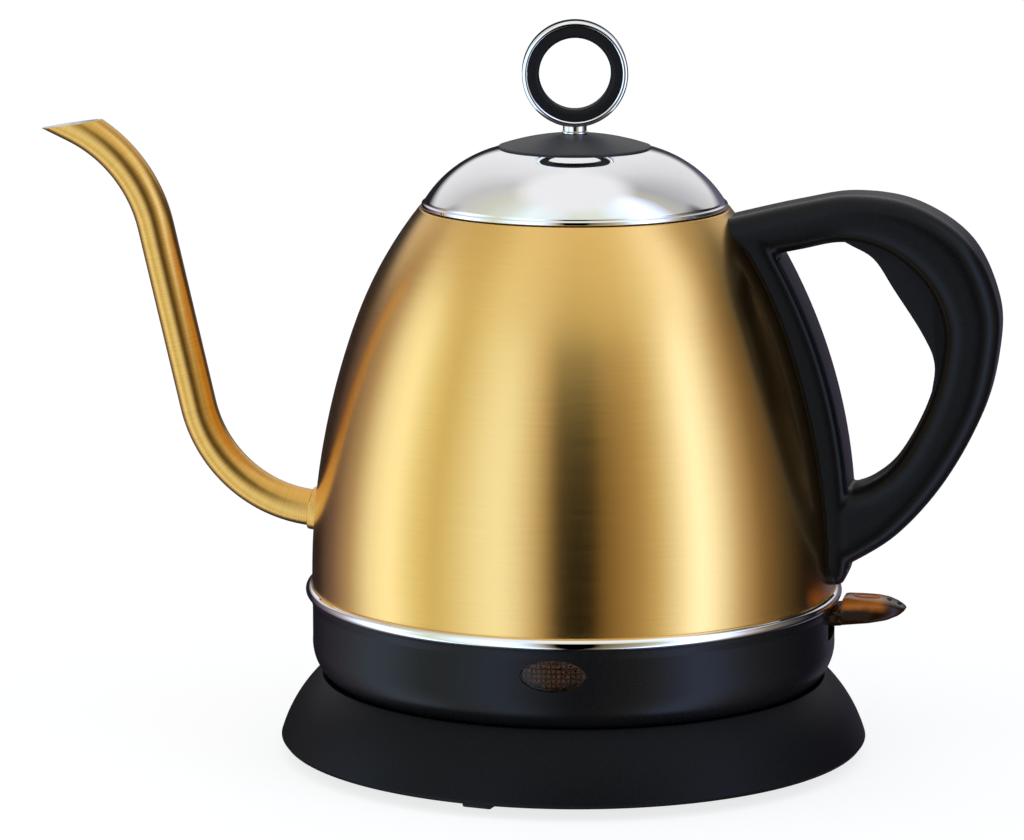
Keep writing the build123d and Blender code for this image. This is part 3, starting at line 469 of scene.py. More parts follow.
def facet_tree():
    """Set a small facet on each point of a flat grid, inside an ellipse."""
    sockets = (
        ("Across", "NodeSocketFloat"),
        ("High", "NodeSocketFloat"),
        ("Pitch", "NodeSocketFloat"),
        ("Material", "NodeSocketMaterial"),
    )
    tree, start, end = new_tree("Facets in an ellipse", sockets)
    across, high, pitch = (start.outputs[name] for name in ("Across", "High", "Pitch"))
    columns = maths(tree, "FLOOR", maths(tree, "DIVIDE", across, pitch))
    rows = maths(tree, "FLOOR", maths(tree, "DIVIDE", high, pitch))
    grid = add_node(
        tree,
        "GeometryNodeMeshGrid",
        {
            "Size X": maths(tree, "MULTIPLY", maths(tree, "SUBTRACT", columns, 1), pitch),
            "Size Y": maths(tree, "MULTIPLY", maths(tree, "SUBTRACT", rows, 1), pitch),
            "Vertices X": columns,
            "Vertices Y": rows,
        },
    )
    place = add_node(tree, "GeometryNodeInputPosition").outputs[0]
    parts = add_node(tree, "ShaderNodeSeparateXYZ", {"Vector": place})
    x = maths(tree, "DIVIDE", parts.outputs["X"], maths(tree, "MULTIPLY", across, 0.5))
    y = maths(tree, "DIVIDE", parts.outputs["Y"], maths(tree, "MULTIPLY", high, 0.5))
    reach = maths(tree, "ADD", maths(tree, "MULTIPLY", x, x), maths(tree, "MULTIPLY", y, y))
    inside = maths(tree, "LESS_THAN", reach, 0.84)
    facet = add_node(
        tree,
        "GeometryNodeMeshCone",
        {
            "Vertices": 4,
            "Radius Top": maths(tree, "MULTIPLY", pitch, 0.38),
            "Radius Bottom": maths(tree, "MULTIPLY", pitch, 0.66),
            "Depth": maths(tree, "MULTIPLY", pitch, 0.35),
        },
    )
    copies = add_node(
        tree,
        "GeometryNodeInstanceOnPoints",
        {
            "Points": grid.outputs["Mesh"],
            "Selection": inside,
            "Instance": facet.outputs["Mesh"],
            "Rotation": (0, 0, math.pi / 4),
        },
    )
    return end_tree(tree, start, end, copies.outputs["Instances"])


TREES = {}


def run_tree(obj, maker, **inputs):
    """Run a Geometry Nodes tree on the object, setting its inputs by their labels' identifiers."""
    if maker.__name__ not in TREES:
        TREES[maker.__name__] = maker()
    modifier = obj.modifiers.new(maker.__name__, "NODES")
    modifier.node_group = TREES[maker.__name__]
    labels = {label.replace("_", " ").title(): value for label, value in inputs.items()}
    for item in modifier.node_group.interface.items_tree:
        if item.in_out == "INPUT" and item.name in labels:
            modifier[item.identifier] = labels[item.name]
    bake(obj)
    obj.data.materials.clear()
    obj.data.materials.append(inputs["material"])
    for face in obj.data.polygons:
        face.material_index = 0
    return obj


# ============================================================ mesh helpers
def link_new(name, mesh):
    """A new object in the scene."""
    obj = bpy.data.objects.new(name, mesh)
    bpy.context.scene.collection.objects.link(obj)
    return obj


def bake(obj):
    """Make the object's modifiers part of its mesh."""
    graph = bpy.context.evaluated_depsgraph_get()
    shaped = obj.evaluated_get(graph)
    mesh = bpy.data.meshes.new_from_object(shaped, preserve_all_data_layers=True, depsgraph=graph)
    obj.modifiers.clear()
    obj.data = mesh
    mesh.name = obj.name
    return obj


def shade(obj, sharp=38.0, merge=1e-7):
    """Merge doubles, point every face outwards and shade smooth up to the sharp angle."""
    work = bmesh.new()
    work.from_mesh(obj.data)
    bmesh.ops.remove_doubles(work, verts=work.verts, dist=merge)
    loose = [edge for edge in work.edges if edge.is_wire]
    bmesh.ops.delete(work, geom=loose, context="EDGES")
    bmesh.ops.recalc_face_normals(work, faces=work.faces)
    work.to_mesh(obj.data)
    work.free()
    obj.data.shade_smooth()
    obj.data.set_sharp_from_angle(angle=math.radians(sharp))
    return obj


def edge_line(name, points):
    """An object whose mesh is a line of edges through (x, z) points in millimetres."""
    mesh = bpy.data.meshes.new(name)
    corners = [(x * MM, 0, z * MM) for x, z in points]
    mesh.from_pydata(corners, [(index, index + 1) for index in range(len(corners) - 1)], [])
    along = mesh.attributes.new("along", "FLOAT", "POINT")
    total = 0.0
    for index, corner in enumerate(corners):
        if index:
            total += math.dist(corner, corners[index - 1])
        along.data[index].value = total
    return link_new(name, mesh)


def turned(name, outline, material, segments=None, sharp=38.0):
    """A piece turned about the kettle's axis from a closed outline."""
    count = segments or bpy.context.scene.kettle_sizes.segments
    obj = edge_line(name, outline)
    run_tree(obj, turning_tree, segments=count, material=material)
    return shade(obj, sharp)


def mesh_piece(name, corners, faces, material):
    """A piece from corners in millimetres and faces."""
    mesh = bpy.data.meshes.new(name)
    mesh.from_pydata([Vector(corner) * MM for corner in corners], [], faces)
    mesh.materials.append(material)
    return link_new(name, mesh)


def lofted(name, rings, material):
    """A closed piece through rings of corners, all with the same number of corners."""
    count = len(rings[0])
    corners = [corner for ring in rings for corner in ring]
    faces = [tuple(reversed(range(count)))]
    for ring in range(len(rings) - 1):
        for index in range(count):
            here, beside = ring * count + index, ring * count + (index + 1) % count
            faces.append((here, beside, beside + count, here + count))
    faces.append(tuple(range((len(rings) - 1) * count, len(rings) * count)))
    return mesh_piece(name, corners, faces, material)


def soften(obj, width, segments, angle=50.0):
    """Round the edges that are sharper than the angle, by a width in millimetres."""
    modifier = obj.modifiers.new("Edge", "BEVEL")
    modifier.width = width * MM
    modifier.segments = segments
    modifier.limit_method = "ANGLE"
    modifier.angle_limit = math.radians(angle)
    return shade(bake(obj))


def prism(name, outline, low, high, material, bevel=0.0):
    """A closed outline of (x, z) points, drawn out along Y from low to high."""
    points = outline[:-1] if outline[0] == outline[-1] else outline
    rings = [[(x, y, z) for x, z in points] for y in (low, high)]
    obj = shade(lofted(name, rings, material))
    return soften(obj, bevel, 5) if bevel else obj


def warp(obj, change):
    """Move every corner of the mesh, in millimetres, by the function."""
    for corner in obj.data.vertices:
        corner.co = Vector(change(corner.co / MM)) * MM
    return obj


def cut(obj, cutter, operation="DIFFERENCE", sharp=38.0):
    """Cut the object with another, which is then removed."""
    modifier = obj.modifiers.new("Cut", "BOOLEAN")
    modifier.operation = operation
    modifier.solver = "EXACT"
    modifier.object = cutter
    bake(obj)
    bpy.data.objects.remove(cutter)
    return shade(obj, sharp)


def join(obj, *others):
    """Take other objects' meshes into this one."""
    work = bmesh.new()
    work.from_mesh(obj.data)
    for other in others:
        for material in other.data.materials:
            if material.name not in obj.data.materials:
                obj.data.materials.append(material)
        shift = obj.data.materials.find(other.data.materials[0].name)
        for face in other.data.polygons:
            face.material_index = shift
        work.from_mesh(other.data)
        bpy.data.objects.remove(other)
    work.to_mesh(obj.data)
    work.free()
    return shade(obj)


def inner_finish(obj, material, is_inner):
    """Give the faces that pass the test a second material."""
    obj.data.materials.append(material)
    last = len(obj.data.materials) - 1
    for face in obj.data.polygons:
        if is_inner(face.center / MM, face.normal):
            face.material_index = last
    return obj


def fasten(obj, body, slot, *nodes):
    """Set a piece on its body, in place of the CAD nodes that it stands for."""
    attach(obj, body)
    if nodes:
        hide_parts(*nodes)
    return obj


# ============================================================ finishes
def new_finish(name):
    """A material with a Principled shader, and the shader."""
    material = bpy.data.materials.new(name)
    material.use_nodes = True
    tree = material.node_tree
    tree.nodes.clear()
    shader = tree.nodes.new("ShaderNodeBsdfPrincipled")
    output = tree.nodes.new("ShaderNodeOutputMaterial")
    tree.links.new(shader.outputs["BSDF"], output.inputs["Surface"])
    return material, tree, shader


def grain(tree, scale, detail=2.0, vector=None):
    """Noise over the piece; scale is in cycles to the metre unless a vector is given."""
    if vector is None:
        vector = add_node(tree, "ShaderNodeTexCoord").outputs["Object"]
    inputs = {"Vector": vector, "Scale": scale, "Detail": detail}
    return add_node(tree, "ShaderNodeTexNoise", inputs).outputs["Fac"]


def spread(tree, value, low, high):
    """Noise spread between two numbers."""
    inputs = {"Value": value, "From Min": 0.3, "From Max": 0.7, "To Min": low, "To Max": high}
    return add_node(tree, "ShaderNodeMapRange", inputs).outputs["Result"]


def blend(tree, first, second, share):
    """Two noises mixed, with this share of the first."""
    others = maths(tree, "MULTIPLY", second, 1 - share)
    return maths(tree, "ADD", maths(tree, "MULTIPLY", first, share), others)


def tint(tree, value, low, high):
    """A colour between two colours."""
    ramp = add_node(tree, "ShaderNodeValToRGB", {"Fac": value})
    ramp.color_ramp.elements[0].position = 0.3
    ramp.color_ramp.elements[1].position = 0.7
    ramp.color_ramp.elements[0].color = (*low, 1)
    ramp.color_ramp.elements[1].color = (*high, 1)
    return ramp.outputs["Color"]


def set_bump(tree, shader, height, distance_mm, strength=1.0):
    """Raise the surface by a height field, this many millimetres at most."""
    inputs = {"Height": height, "Distance": distance_mm * MM, "Strength": strength}
    bump = add_node(tree, "ShaderNodeBump", inputs)
    tree.links.new(bump.outputs["Normal"], shader.inputs["Normal"])


def scaled(colour, factor):
    """A colour made lighter or darker."""
    return tuple(min(channel * factor, 1.0) for channel in colour)


def plastic(name, colour, roughness, gloss, grain_mm, relief_mm, fleck=1.5):
    """Moulded plastic or rubber with a fine spark-eroded grain and a slow change of sheen."""
    material, tree, shader = new_finish(name)
    fine = grain(tree, 1 / (grain_mm * MM), 3.0)
    slow = grain(tree, 35.0, 2.0)
    mixed = blend(tree, fine, slow, 0.5)
    inputs = {
        "Base Color": tint(tree, fine, scaled(colour, 0.75), scaled(colour, fleck)),
        "Roughness": spread(tree, mixed, roughness - 0.06, roughness + 0.06),
        "Specular IOR Level": gloss,
    }
    feed(tree, shader, inputs)
    set_bump(tree, shader, fine, relief_mm)
    return material


def metal(name, colour, roughness, wander=0.03, grain_scale=60.0, relief_mm=0.002):
    """Plain metal whose polish wanders a little over the piece."""
    material, tree, shader = new_finish(name)
    slow = grain(tree, grain_scale, 4.0)
    fine = grain(tree, 2400.0, 2.0)
    inputs = {
        "Base Color": tint(tree, slow, scaled(colour, 0.95), colour),
        "Roughness": spread(tree, slow, roughness, roughness + wander),
        "Metallic": 1.0,
    }
    feed(tree, shader, inputs)
    set_bump(tree, shader, fine, relief_mm)
    return material


def brushed(name, colour, roughness, streak, anisotropy=0.7, relief_mm=0.002):
    """Metal brushed round the piece: fine scratches across its UV map's V."""
    material, tree, shader = new_finish(name)
    uv = add_node(tree, "ShaderNodeUVMap", uv_map="UVMap").outputs["UV"]
    parts = add_node(tree, "ShaderNodeSeparateXYZ", {"Vector": uv})

    def scratches(round_count, across_count, detail):
        place = add_node(
            tree,
            "ShaderNodeCombineXYZ",
            {
                "X": maths(tree, "MULTIPLY", parts.outputs["X"], round_count),
                "Y": maths(tree, "MULTIPLY", parts.outputs["Y"], across_count),
            },
        )
        return grain(tree, 1.0, detail, place.outputs[0])

    fine = scratches(26.0, 3600.0, 3.0)
    broad = scratches(7.0, 420.0, 3.0)
    mixed = blend(tree, fine, broad, 0.8)
    inputs = {
        "Base Color": tint(tree, mixed, scaled(colour, 1 - streak), scaled(colour, 1 + streak)),
        "Roughness": spread(tree, mixed, roughness - 0.02, roughness + 0.02),
        "Metallic": 1.0,
    }
    feed(tree, shader, inputs)
    if anisotropy:
        tangent = add_node(tree, "ShaderNodeTangent", direction_type="RADIAL", axis="Z")
        inputs = {
            "Anisotropic": anisotropy,
            "Anisotropic Rotation": 0.25,
            "Tangent": tangent.outputs["Tangent"],
        }
        feed(tree, shader, inputs)
    set_bump(tree, shader, fine, relief_mm)
    return material


def tinted(name, colour, roughness, transmission, ior=1.49):
    """See-through tinted plastic with faint moulding waves."""
    material, tree, shader = new_finish(name)
    slow = grain(tree, 180.0, 2.0)
    inputs = {
        "Base Color": tint(tree, slow, scaled(colour, 0.85), scaled(colour, 1.1)),
        "Roughness": spread(tree, slow, roughness, roughness + 0.05),
        "Transmission Weight": transmission,
        "IOR": ior,
    }
    feed(tree, shader, inputs)
    set_bump(tree, shader, slow, 0.02)
    return material


def amber(name, colour):
    """See-through amber with painted light and shade: a painted lit band along its top, short of
    the tip, and painted shade, near black, below it.
    """
    material, tree, shader = new_finish(name)
    place = add_node(tree, "ShaderNodeTexCoord").outputs["Object"]
    parts = add_node(tree, "ShaderNodeSeparateXYZ", {"Vector": place})
    # Painted light: a band along the lever's top, wavy at its lower edge, gets the full amber
    # colour; lower down and at the tip the colour is painted shade.
    wave = maths(tree, "MULTIPLY", grain(tree, 220.0, 2.0), 1.6 * MM)
    level = maths(tree, "ADD", parts.outputs["Z"], wave)
    low = (LEVER_LOW.z + 5.4) * MM
    painted_lit_band = eased(tree, level, low, low + 2.0 * MM)
    tip = (LEVER_HIGH.x - 7.5) * MM
    short_of_tip = eased(tree, parts.outputs["X"], tip, tip + 4.0 * MM, 1.0, 0.0)
    painted_light_share = maths(tree, "MULTIPLY", painted_lit_band, short_of_tip)
    ramp = add_node(tree, "ShaderNodeValToRGB", {"Fac": painted_light_share})
    # Painted shade near black for the lever's depth, full amber for the painted lit band.
    ramp.color_ramp.elements[0].color = (*scaled(colour, 0.04), 1)
    ramp.color_ramp.elements[1].color = (*colour, 1)
    inputs = {
        "Base Color": ramp.outputs["Color"],
        "Roughness": 0.16,
        "Transmission Weight": 0.06,
        "Specular IOR Level": 0.2,
        "IOR": 1.49,
    }
    feed(tree, shader, inputs)
    set_bump(tree, shader, grain(tree, 400.0, 2.0), 0.01)
    return material


FINISHES = {}


def make_finishes(colours):
    """Every finish of the kettle, by its slot in the record or by its place."""
    gold = tuple(colours.gold)
    black = tuple(colours.black)
    steel = tuple(colours.steel)
    chrome = tuple(colours.chrome)
    tube = (gold[0] * 0.88, gold[1] * 0.8, gold[2] * 0.6)
    FINISHES.update(
        gold_steel=brushed("brushed_gold", gold, 0.25, 0.03, 0.8),
        gold_tube=brushed("brushed_gold_tube", tube, 0.3, 0.2, 0.0, 0.004),
        inside_steel=brushed("brushed_inside_steel", steel, 0.3, 0.05, 0.5),
        chrome=metal("polished_chrome", chrome, 0.025, 0.02, 40.0, 0.0005),
        steel=metal("bare_steel", steel, 0.28, 0.1),
        spout_steel=metal("cut_steel", scaled(steel, 1.3), 0.5, 0.1),
        black_plastic=plastic("satin_black", black, 0.28, 0.2, 0.35, 0.003),
        handle_plastic=plastic("handle_black", scaled(black, 0.8), 0.3, 0.16, 0.4, 0.001),
        base_plastic=plastic("base_black", scaled(black, 0.6), 0.42, 0.09, 0.3, 0.006, 3.0),
        cap_plastic=plastic("cap_black", tuple(colours.cap), 0.5, 0.45, 0.3, 0.010),
        insert_plastic=plastic("insert_black", scaled(black, 0.7), 0.55, 0.25, 0.28, 0.015),
        amber_plastic=amber("amber_plastic", tuple(colours.amber)),
        smoked_lens=tinted("smoked_lens", tuple(colours.lens), 0.03, 1.0, 1.3),
        lens_facets=plastic("lens_facets", tuple(colours.facets), 0.25, 0.7, 0.8, 0.0, 1.6),
        liner_rubber=plastic("liner_rubber", scaled(black, 0.9), 0.42, 0.14, 0.45, 0.006),
        foot_rubber=plastic("foot_rubber", scaled(black, 1.6), 0.7, 0.3, 0.4, 0.02),
        seal_silicone=plastic("seal_silicone", (0.62, 0.62, 0.6), 0.45, 0.4, 0.6, 0.01, 1.05),
        brass=metal("bare_brass", (0.72, 0.5, 0.2), 0.22, 0.12),
        aluminium=metal("cast_aluminium", (0.62, 0.62, 0.63), 0.42, 0.14, 220.0, 0.02),
        inner_plastic=plastic("cream_plastic", (0.62, 0.58, 0.5), 0.5, 0.4, 0.5, 0.01, 1.08),
        lamp_glass=tinted("lamp_glass", (1.0, 0.62, 0.35), 0.04, 0.9),
        wire_cover=plastic("wire_silicone", (0.42, 0.03, 0.02), 0.45, 0.4, 0.4, 0.01, 1.2),
    )


# ============================================================ sizes and colours
class KettleSizes(bpy.types.PropertyGroup):
    """Sizes that a user would change."""

    segments: IntProperty(
        name="Turned segments",
        description="Faces round each turned piece",
        default=256,
        min=32,
        max=512,
    )
    spout_sides: IntProperty(
        name="Spout sides",
        description="Faces round the spout's tube",
        default=64,
        min=12,
        max=128,
    )
    handle_grid: FloatProperty(
        name="Handle grid",
        description="Grid on which the handle's solids are melted together",
        default=0.0006,
        min=0.0004,
        max=0.002,
        unit="LENGTH",
        subtype="DISTANCE",
    )
    foot_count: IntProperty(
        name="Feet", description="Rubber feet under the base", default=4, min=3, max=8
    )
    facet_pitch: FloatProperty(
        name="Facet pitch",
        description="Distance between the lamp window's prism facets",
        default=0.00125,
        min=0.0004,
        max=0.002,
        unit="LENGTH",
        subtype="DISTANCE",
    )
    floor_radius: FloatProperty(
        name="Floor radius",
        description="Radius of the studio floor",
        default=9.0,
        unit="LENGTH",
        subtype="DISTANCE",
    )


def colour_property(label, description, default):
    """A colour that a user would change."""
    return FloatVectorProperty(
        name=label, description=description, subtype="COLOR", size=3, min=0, max=1, default=default
    )


class KettleColours(bpy.types.PropertyGroup):
    """Colours that a user would change."""

    gold: colour_property("Gold", "Gold-toned steel of the body and spout", (0.86, 0.53, 0.17))
    steel: colour_property("Steel", "Bare stainless steel", (0.62, 0.62, 0.61))
    chrome: colour_property("Chrome", "Polished lid, trim ring and knob ring", (0.93, 0.93, 0.94))
    black: colour_property("Black", "Moulded housing, base and handle", (0.005, 0.005, 0.006))
    cap: colour_property("Cap", "Moulded cap on the lid", (0.026, 0.026, 0.028))
    amber: colour_property("Amber", "See-through switch lever", (0.5, 0.15, 0.02))
    lens: colour_property("Lens", "Smoked lamp window", (0.7, 0.55, 0.45))
    facets: colour_property("Facets", "Prism plate behind the lamp window", (0.085, 0.034, 0.012))
    floor: colour_property("Floor", "Studio floor", (0.3, 0.3, 0.3))


# ============================================================ pieces
class KETTLE_OT_body(bpy.types.Operator):
    """The brushed body with its steel inside, and the bright ring round its foot"""

    bl_idname = "kettle.body"
    bl_label = "Body and trim ring"

    def execute(self, context):
        mouth_top = BODY_HIGH.z
        outside = body_side(0)
        inside = body_side(-WALL)
        neck = MOUTH_BORE + WALL
        outline = rounded(
            [
                (BODY_RADIUS, BODY_LOW.z),
                *outside[:-1],
                (*MOUTH, 0.35),
                (MOUTH[0] - 0.5, mouth_top, 0.35),
                (MOUTH_BORE, mouth_top, 0.5),
                (MOUTH_BORE, mouth_top - NECK_DEPTH, 0.3),
                (neck, mouth_top - NECK_DEPTH, 0.3),
                (neck, mouth_top - WALL, 0.4),
                (inside[-1][0] - 0.5, mouth_top - WALL),
                *reversed(inside),
                (BODY_RADIUS - WALL, BODY_LOW.z),
            ]
        )
        body = turned("kettle_body", outline, FINISHES["gold_steel"], SEGMENTS_FINE)
        tube = prism("spout_hole", circle(SPOUT_RADIUS, 48), -7, 7, FINISHES["steel"])
        tube.data.transform(root_matrix())
        cut(body, tube)

        def is_inside(place, normal):
            return place.z < mouth_top - 0.3 and normal.x * place.x + normal.y * place.y < 0

        inner_finish(body, FINISHES["inside_steel"], is_inside)
        fasten(body, "kettle", "gold_steel", "body_shell")

        inner = TRIM_HIGH.x - 1.7
        middle = (TRIM_LOW.z + TRIM_HIGH.z) / 2
        bulge = arc_through(
            (inner + 0.35, TRIM_HIGH.z), (TRIM_HIGH.x, middle - 0.1), (inner + 0.75, TRIM_LOW.z), 24
        )
        ring = turned(
            "trim_band",
            rounded([(inner, TRIM_LOW.z), (inner, TRIM_HIGH.z - 0.3), *bulge]),
            FINISHES["chrome"],
            SEGMENTS_FINE,
        )
        fasten(ring, "kettle", "chrome", "trim_ring")
        return {"FINISHED"}


def root_matrix():
    """Turns local Y into the spout's heading at its root, and moves zero to the body's wall."""
    turn = Matrix.Rotation(math.radians(90), 4, "Z")
    turn = turn @ Matrix.Rotation(math.radians(SPOUT_ROOT_RISE), 4, "X")
    return Matrix.Translation((-wall_radius(SPOUT_ROOT_Z) * MM, 0, SPOUT_ROOT_Z * MM)) @ turn


def spout_route():
    """The spout's centreline from inside the body's wall to past its mouth, as (x, z) points."""
    heading = math.radians(180 - SPOUT_ROOT_RISE)
    place = Vector((-wall_radius(SPOUT_ROOT_Z), SPOUT_ROOT_Z))
    place -= Vector((math.cos(heading), math.sin(heading))) * 0.6
    route = [place.copy()]

    def run(length, steps):
        for _ in range(steps):
            place.xy += Vector((math.cos(heading), math.sin(heading))) * (length / steps)
            route.append(place.copy())

    def bend(radius, turn, steps):
        nonlocal heading
        share = math.radians(turn) / steps
        for _ in range(steps):
            heading += share / 2
            chord = 2 * radius * math.sin(abs(share) / 2)
            place.xy += Vector((math.cos(heading), math.sin(heading))) * chord
            heading += share / 2
            route.append(place.copy())

    run(4.8, 4)
    bend(SPOUT_LOWER_BEND, SPOUT_LEAN + SPOUT_ROOT_RISE - 90, 40)
    run(SPOUT_STRAIGHT, 30)
    bend(SPOUT_UPPER_BEND, SPOUT_UPPER_TURN, 40)
    end = place.copy()
    run(16.0, 8)
    return route, end


class KETTLE_OT_spout(bpy.types.Operator):
    """The gooseneck spout, cut level at its mouth, and the collar at its root"""

    bl_idname = "kettle.spout"
    bl_label = "Spout and collar"

    def execute(self, context):
        sides = context.scene.kettle_sizes.spout_sides
        route, end = spout_route()
        slope = math.radians(SPOUT_MOUTH_SLOPE)
        level = Vector((-math.sin(slope), 0, math.cos(slope)))
        work = bmesh.new()
        for radius in (SPOUT_RADIUS, SPOUT_RADIUS - SPOUT_WALL):
            wall = edge_line("spout_wall", [tuple(point) for point in route])
            run_tree(
                wall,
                tube_tree,
                radius=radius * MM,
                sides=sides,
                material=FINISHES["gold_tube"],
            )
            work.from_mesh(wall.data)
            bpy.data.objects.remove(wall)
        bmesh.ops.remove_doubles(work, verts=work.verts, dist=1e-8)
        bmesh.ops.bisect_plane(
            work,
            geom=[*work.verts, *work.edges, *work.faces],
            plane_co=Vector((end.x, 0, end.y + 0.6)) * MM,
            plane_no=level,
            clear_outer=True,
        )
        open_edges = [edge for edge in work.edges if edge.is_boundary]
        root_edges = [edge for edge in open_edges if edge.verts[0].co.z < 0.08]
        mouth_edges = [edge for edge in open_edges if edge.verts[0].co.z > 0.08]
        for edges in (root_edges, mouth_edges):
            bmesh.ops.triangle_fill(work, edges=edges, use_beauty=True)
        mesh = bpy.data.meshes.new("gooseneck_spout")
        work.to_mesh(mesh)
        work.free()
        mesh.materials.append(FINISHES["gold_tube"])
        spout = soften(shade(link_new("gooseneck_spout", mesh)), 0.12, 2)
        centres = [Vector((point.x, 0, point.y)) for point in route]

        def is_inside(place, normal):
            nearest = min(centres, key=lambda centre: (centre - place).length_squared)
            to_centre = nearest - place
            flat = normal.dot(level) > 0.97 and place.z > end.y - 4
            return flat or (to_centre.length < SPOUT_RADIUS - 0.3 and to_centre.dot(normal) > 0)

        inner_finish(spout, FINISHES["spout_steel"], is_inside)
        fasten(spout, "kettle", "gold_steel", "spout_tube")

        collar = turned(
            "spout_root_collar",
            rounded(
                [
                    (SPOUT_RADIUS + 0.05, -0.6),
                    (SPOUT_RADIUS + COLLAR_WALL, -0.6),
                    (SPOUT_RADIUS + COLLAR_WALL, COLLAR_LENGTH, 0.55),
                    (SPOUT_RADIUS + 0.05, COLLAR_LENGTH, 0.2),
                ]
            ),
            FINISHES["gold_tube"],
            96,
        )
        collar.data.transform(root_matrix() @ Matrix.Rotation(math.radians(-90), 4, "X"))
        fasten(collar, "kettle", "gold_steel", "spout_collar")
        return {"FINISHED"}


def window_outline(grow):
    """The lamp window's ellipse, in the plane of the housing's side."""
    turns = [index * math.tau / 72 for index in range(72)]
    across, high = WINDOW_HALF
    return [((across + grow) * math.cos(turn), (high + grow) * math.sin(turn)) for turn in turns]


class KETTLE_OT_housing(bpy.types.Operator):
    """The black housing under the body, with the lamp's window and the lever's slot"""

    bl_idname = "kettle.housing"
    bl_label = "Housing and lamp window"

    def execute(self, context):
        low, top = HOUSING_LOW.z, HOUSING_HIGH.z
        side = BODY_RADIUS - 0.1
        wall = HOUSING_WALL
        corner = arc_through((side - 8, low), (side - 1.76, low + 4.88), (side, low + 12.2), 24)
        inner_corner = arc_through(
            (side - 9, low + wall), (side - 3.6, low + 6.2), (side - wall, low + 12.2), 12
        )
        housing = turned(
            "kettle_housing",
            rounded(
                [
                    (HOUSING_BORE, low),
                    *corner,
                    (side, top - 2.6, 1.5),
                    (side + 0.7, top - 0.5, 0.3),
                    (side + 0.4, top, 0.15),
                    (side - wall, top),
                    *reversed(inner_corner),
                    (HOUSING_BORE, low + wall),
                ]
            ),
            FINISHES["black_plastic"],
            SEGMENTS_FINE,
        )
        ellipse = [(x, z + WINDOW_Z) for x, z in window_outline(WINDOW_GAP)]
        window = prism("window_cutter", ellipse, -side - 4, -side + 8, FINISHES["black_plastic"])
        window.data.transform(Matrix.Rotation(math.radians(WINDOW_TURN), 4, "Z"))
        cut(housing, window)
        reach = SLOT_HALF_WIDTH
        slot = prism("slot_cutter", rounded(SLOT), -reach, reach, FINISHES["black_plastic"])
        cut(housing, slot)
        for turn in HOUSING_SCREW_TURNS:
            place = Matrix.Rotation(math.radians(turn), 4, "Z")
            place = place @ Matrix.Translation((HOUSING_SCREW_CIRCLE * MM, 0, 0))
            for radius, height in ((1.7, 30.0), (3.3, low + 2.1)):
                drill = prism(
                    "screw_cutter", circle(radius, 40), -height, -10.0, FINISHES["black_plastic"]
                )
                drill.data.transform(place @ Matrix.Rotation(math.radians(-90), 4, "X"))
                cut(housing, drill)
        fasten(housing, "kettle", "black_plastic", "housing_shell")
        self.make_lens(context, side)
        return {"FINISHED"}

    def make_lens(self, context, side):
        """The smoked window, bowed like the housing's side, over a plate of prism facets."""
        across, high = WINDOW_HALF
        turn = Matrix.Rotation(math.radians(WINDOW_TURN), 4, "Z")
        front = arc_through((0.0, 0.35), (0.5, 0.28), (0.94, 0.06), 10)
        outline = rounded([*front, (1.0, -0.1, 0.04), (1.0, -3.6), (0.0, -3.6)])
        lens = turned("lamp_window", outline, FINISHES["smoked_lens"], 96)

        def bow(place):
            x, z = place.x * across, place.y * high
            return x, -math.sqrt(side * side - x * x) - place.z, z + WINDOW_Z

        shade(warp(lens, bow))
        lens.data.transform(turn)
        fasten(lens, "kettle", "smoked_lens", "indicator_lens")

        facets = edge_line("lamp_window_facets", [(0, 0), (1, 0)])
        run_tree(
            facets,
            facet_tree,
            across=2 * across * MM,
            high=2 * high * MM,
            pitch=context.scene.kettle_sizes.facet_pitch,
            material=FINISHES["lens_facets"],
        )

        def behind(place):
            depth = -math.sqrt(side * side - place.x**2) + 4.3 - place.z
            return place.x, depth, place.y + WINDOW_Z

        shade(warp(facets, behind), 20.0)
        facets.data.transform(turn)
        fasten(facets, "kettle", "smoked_lens")


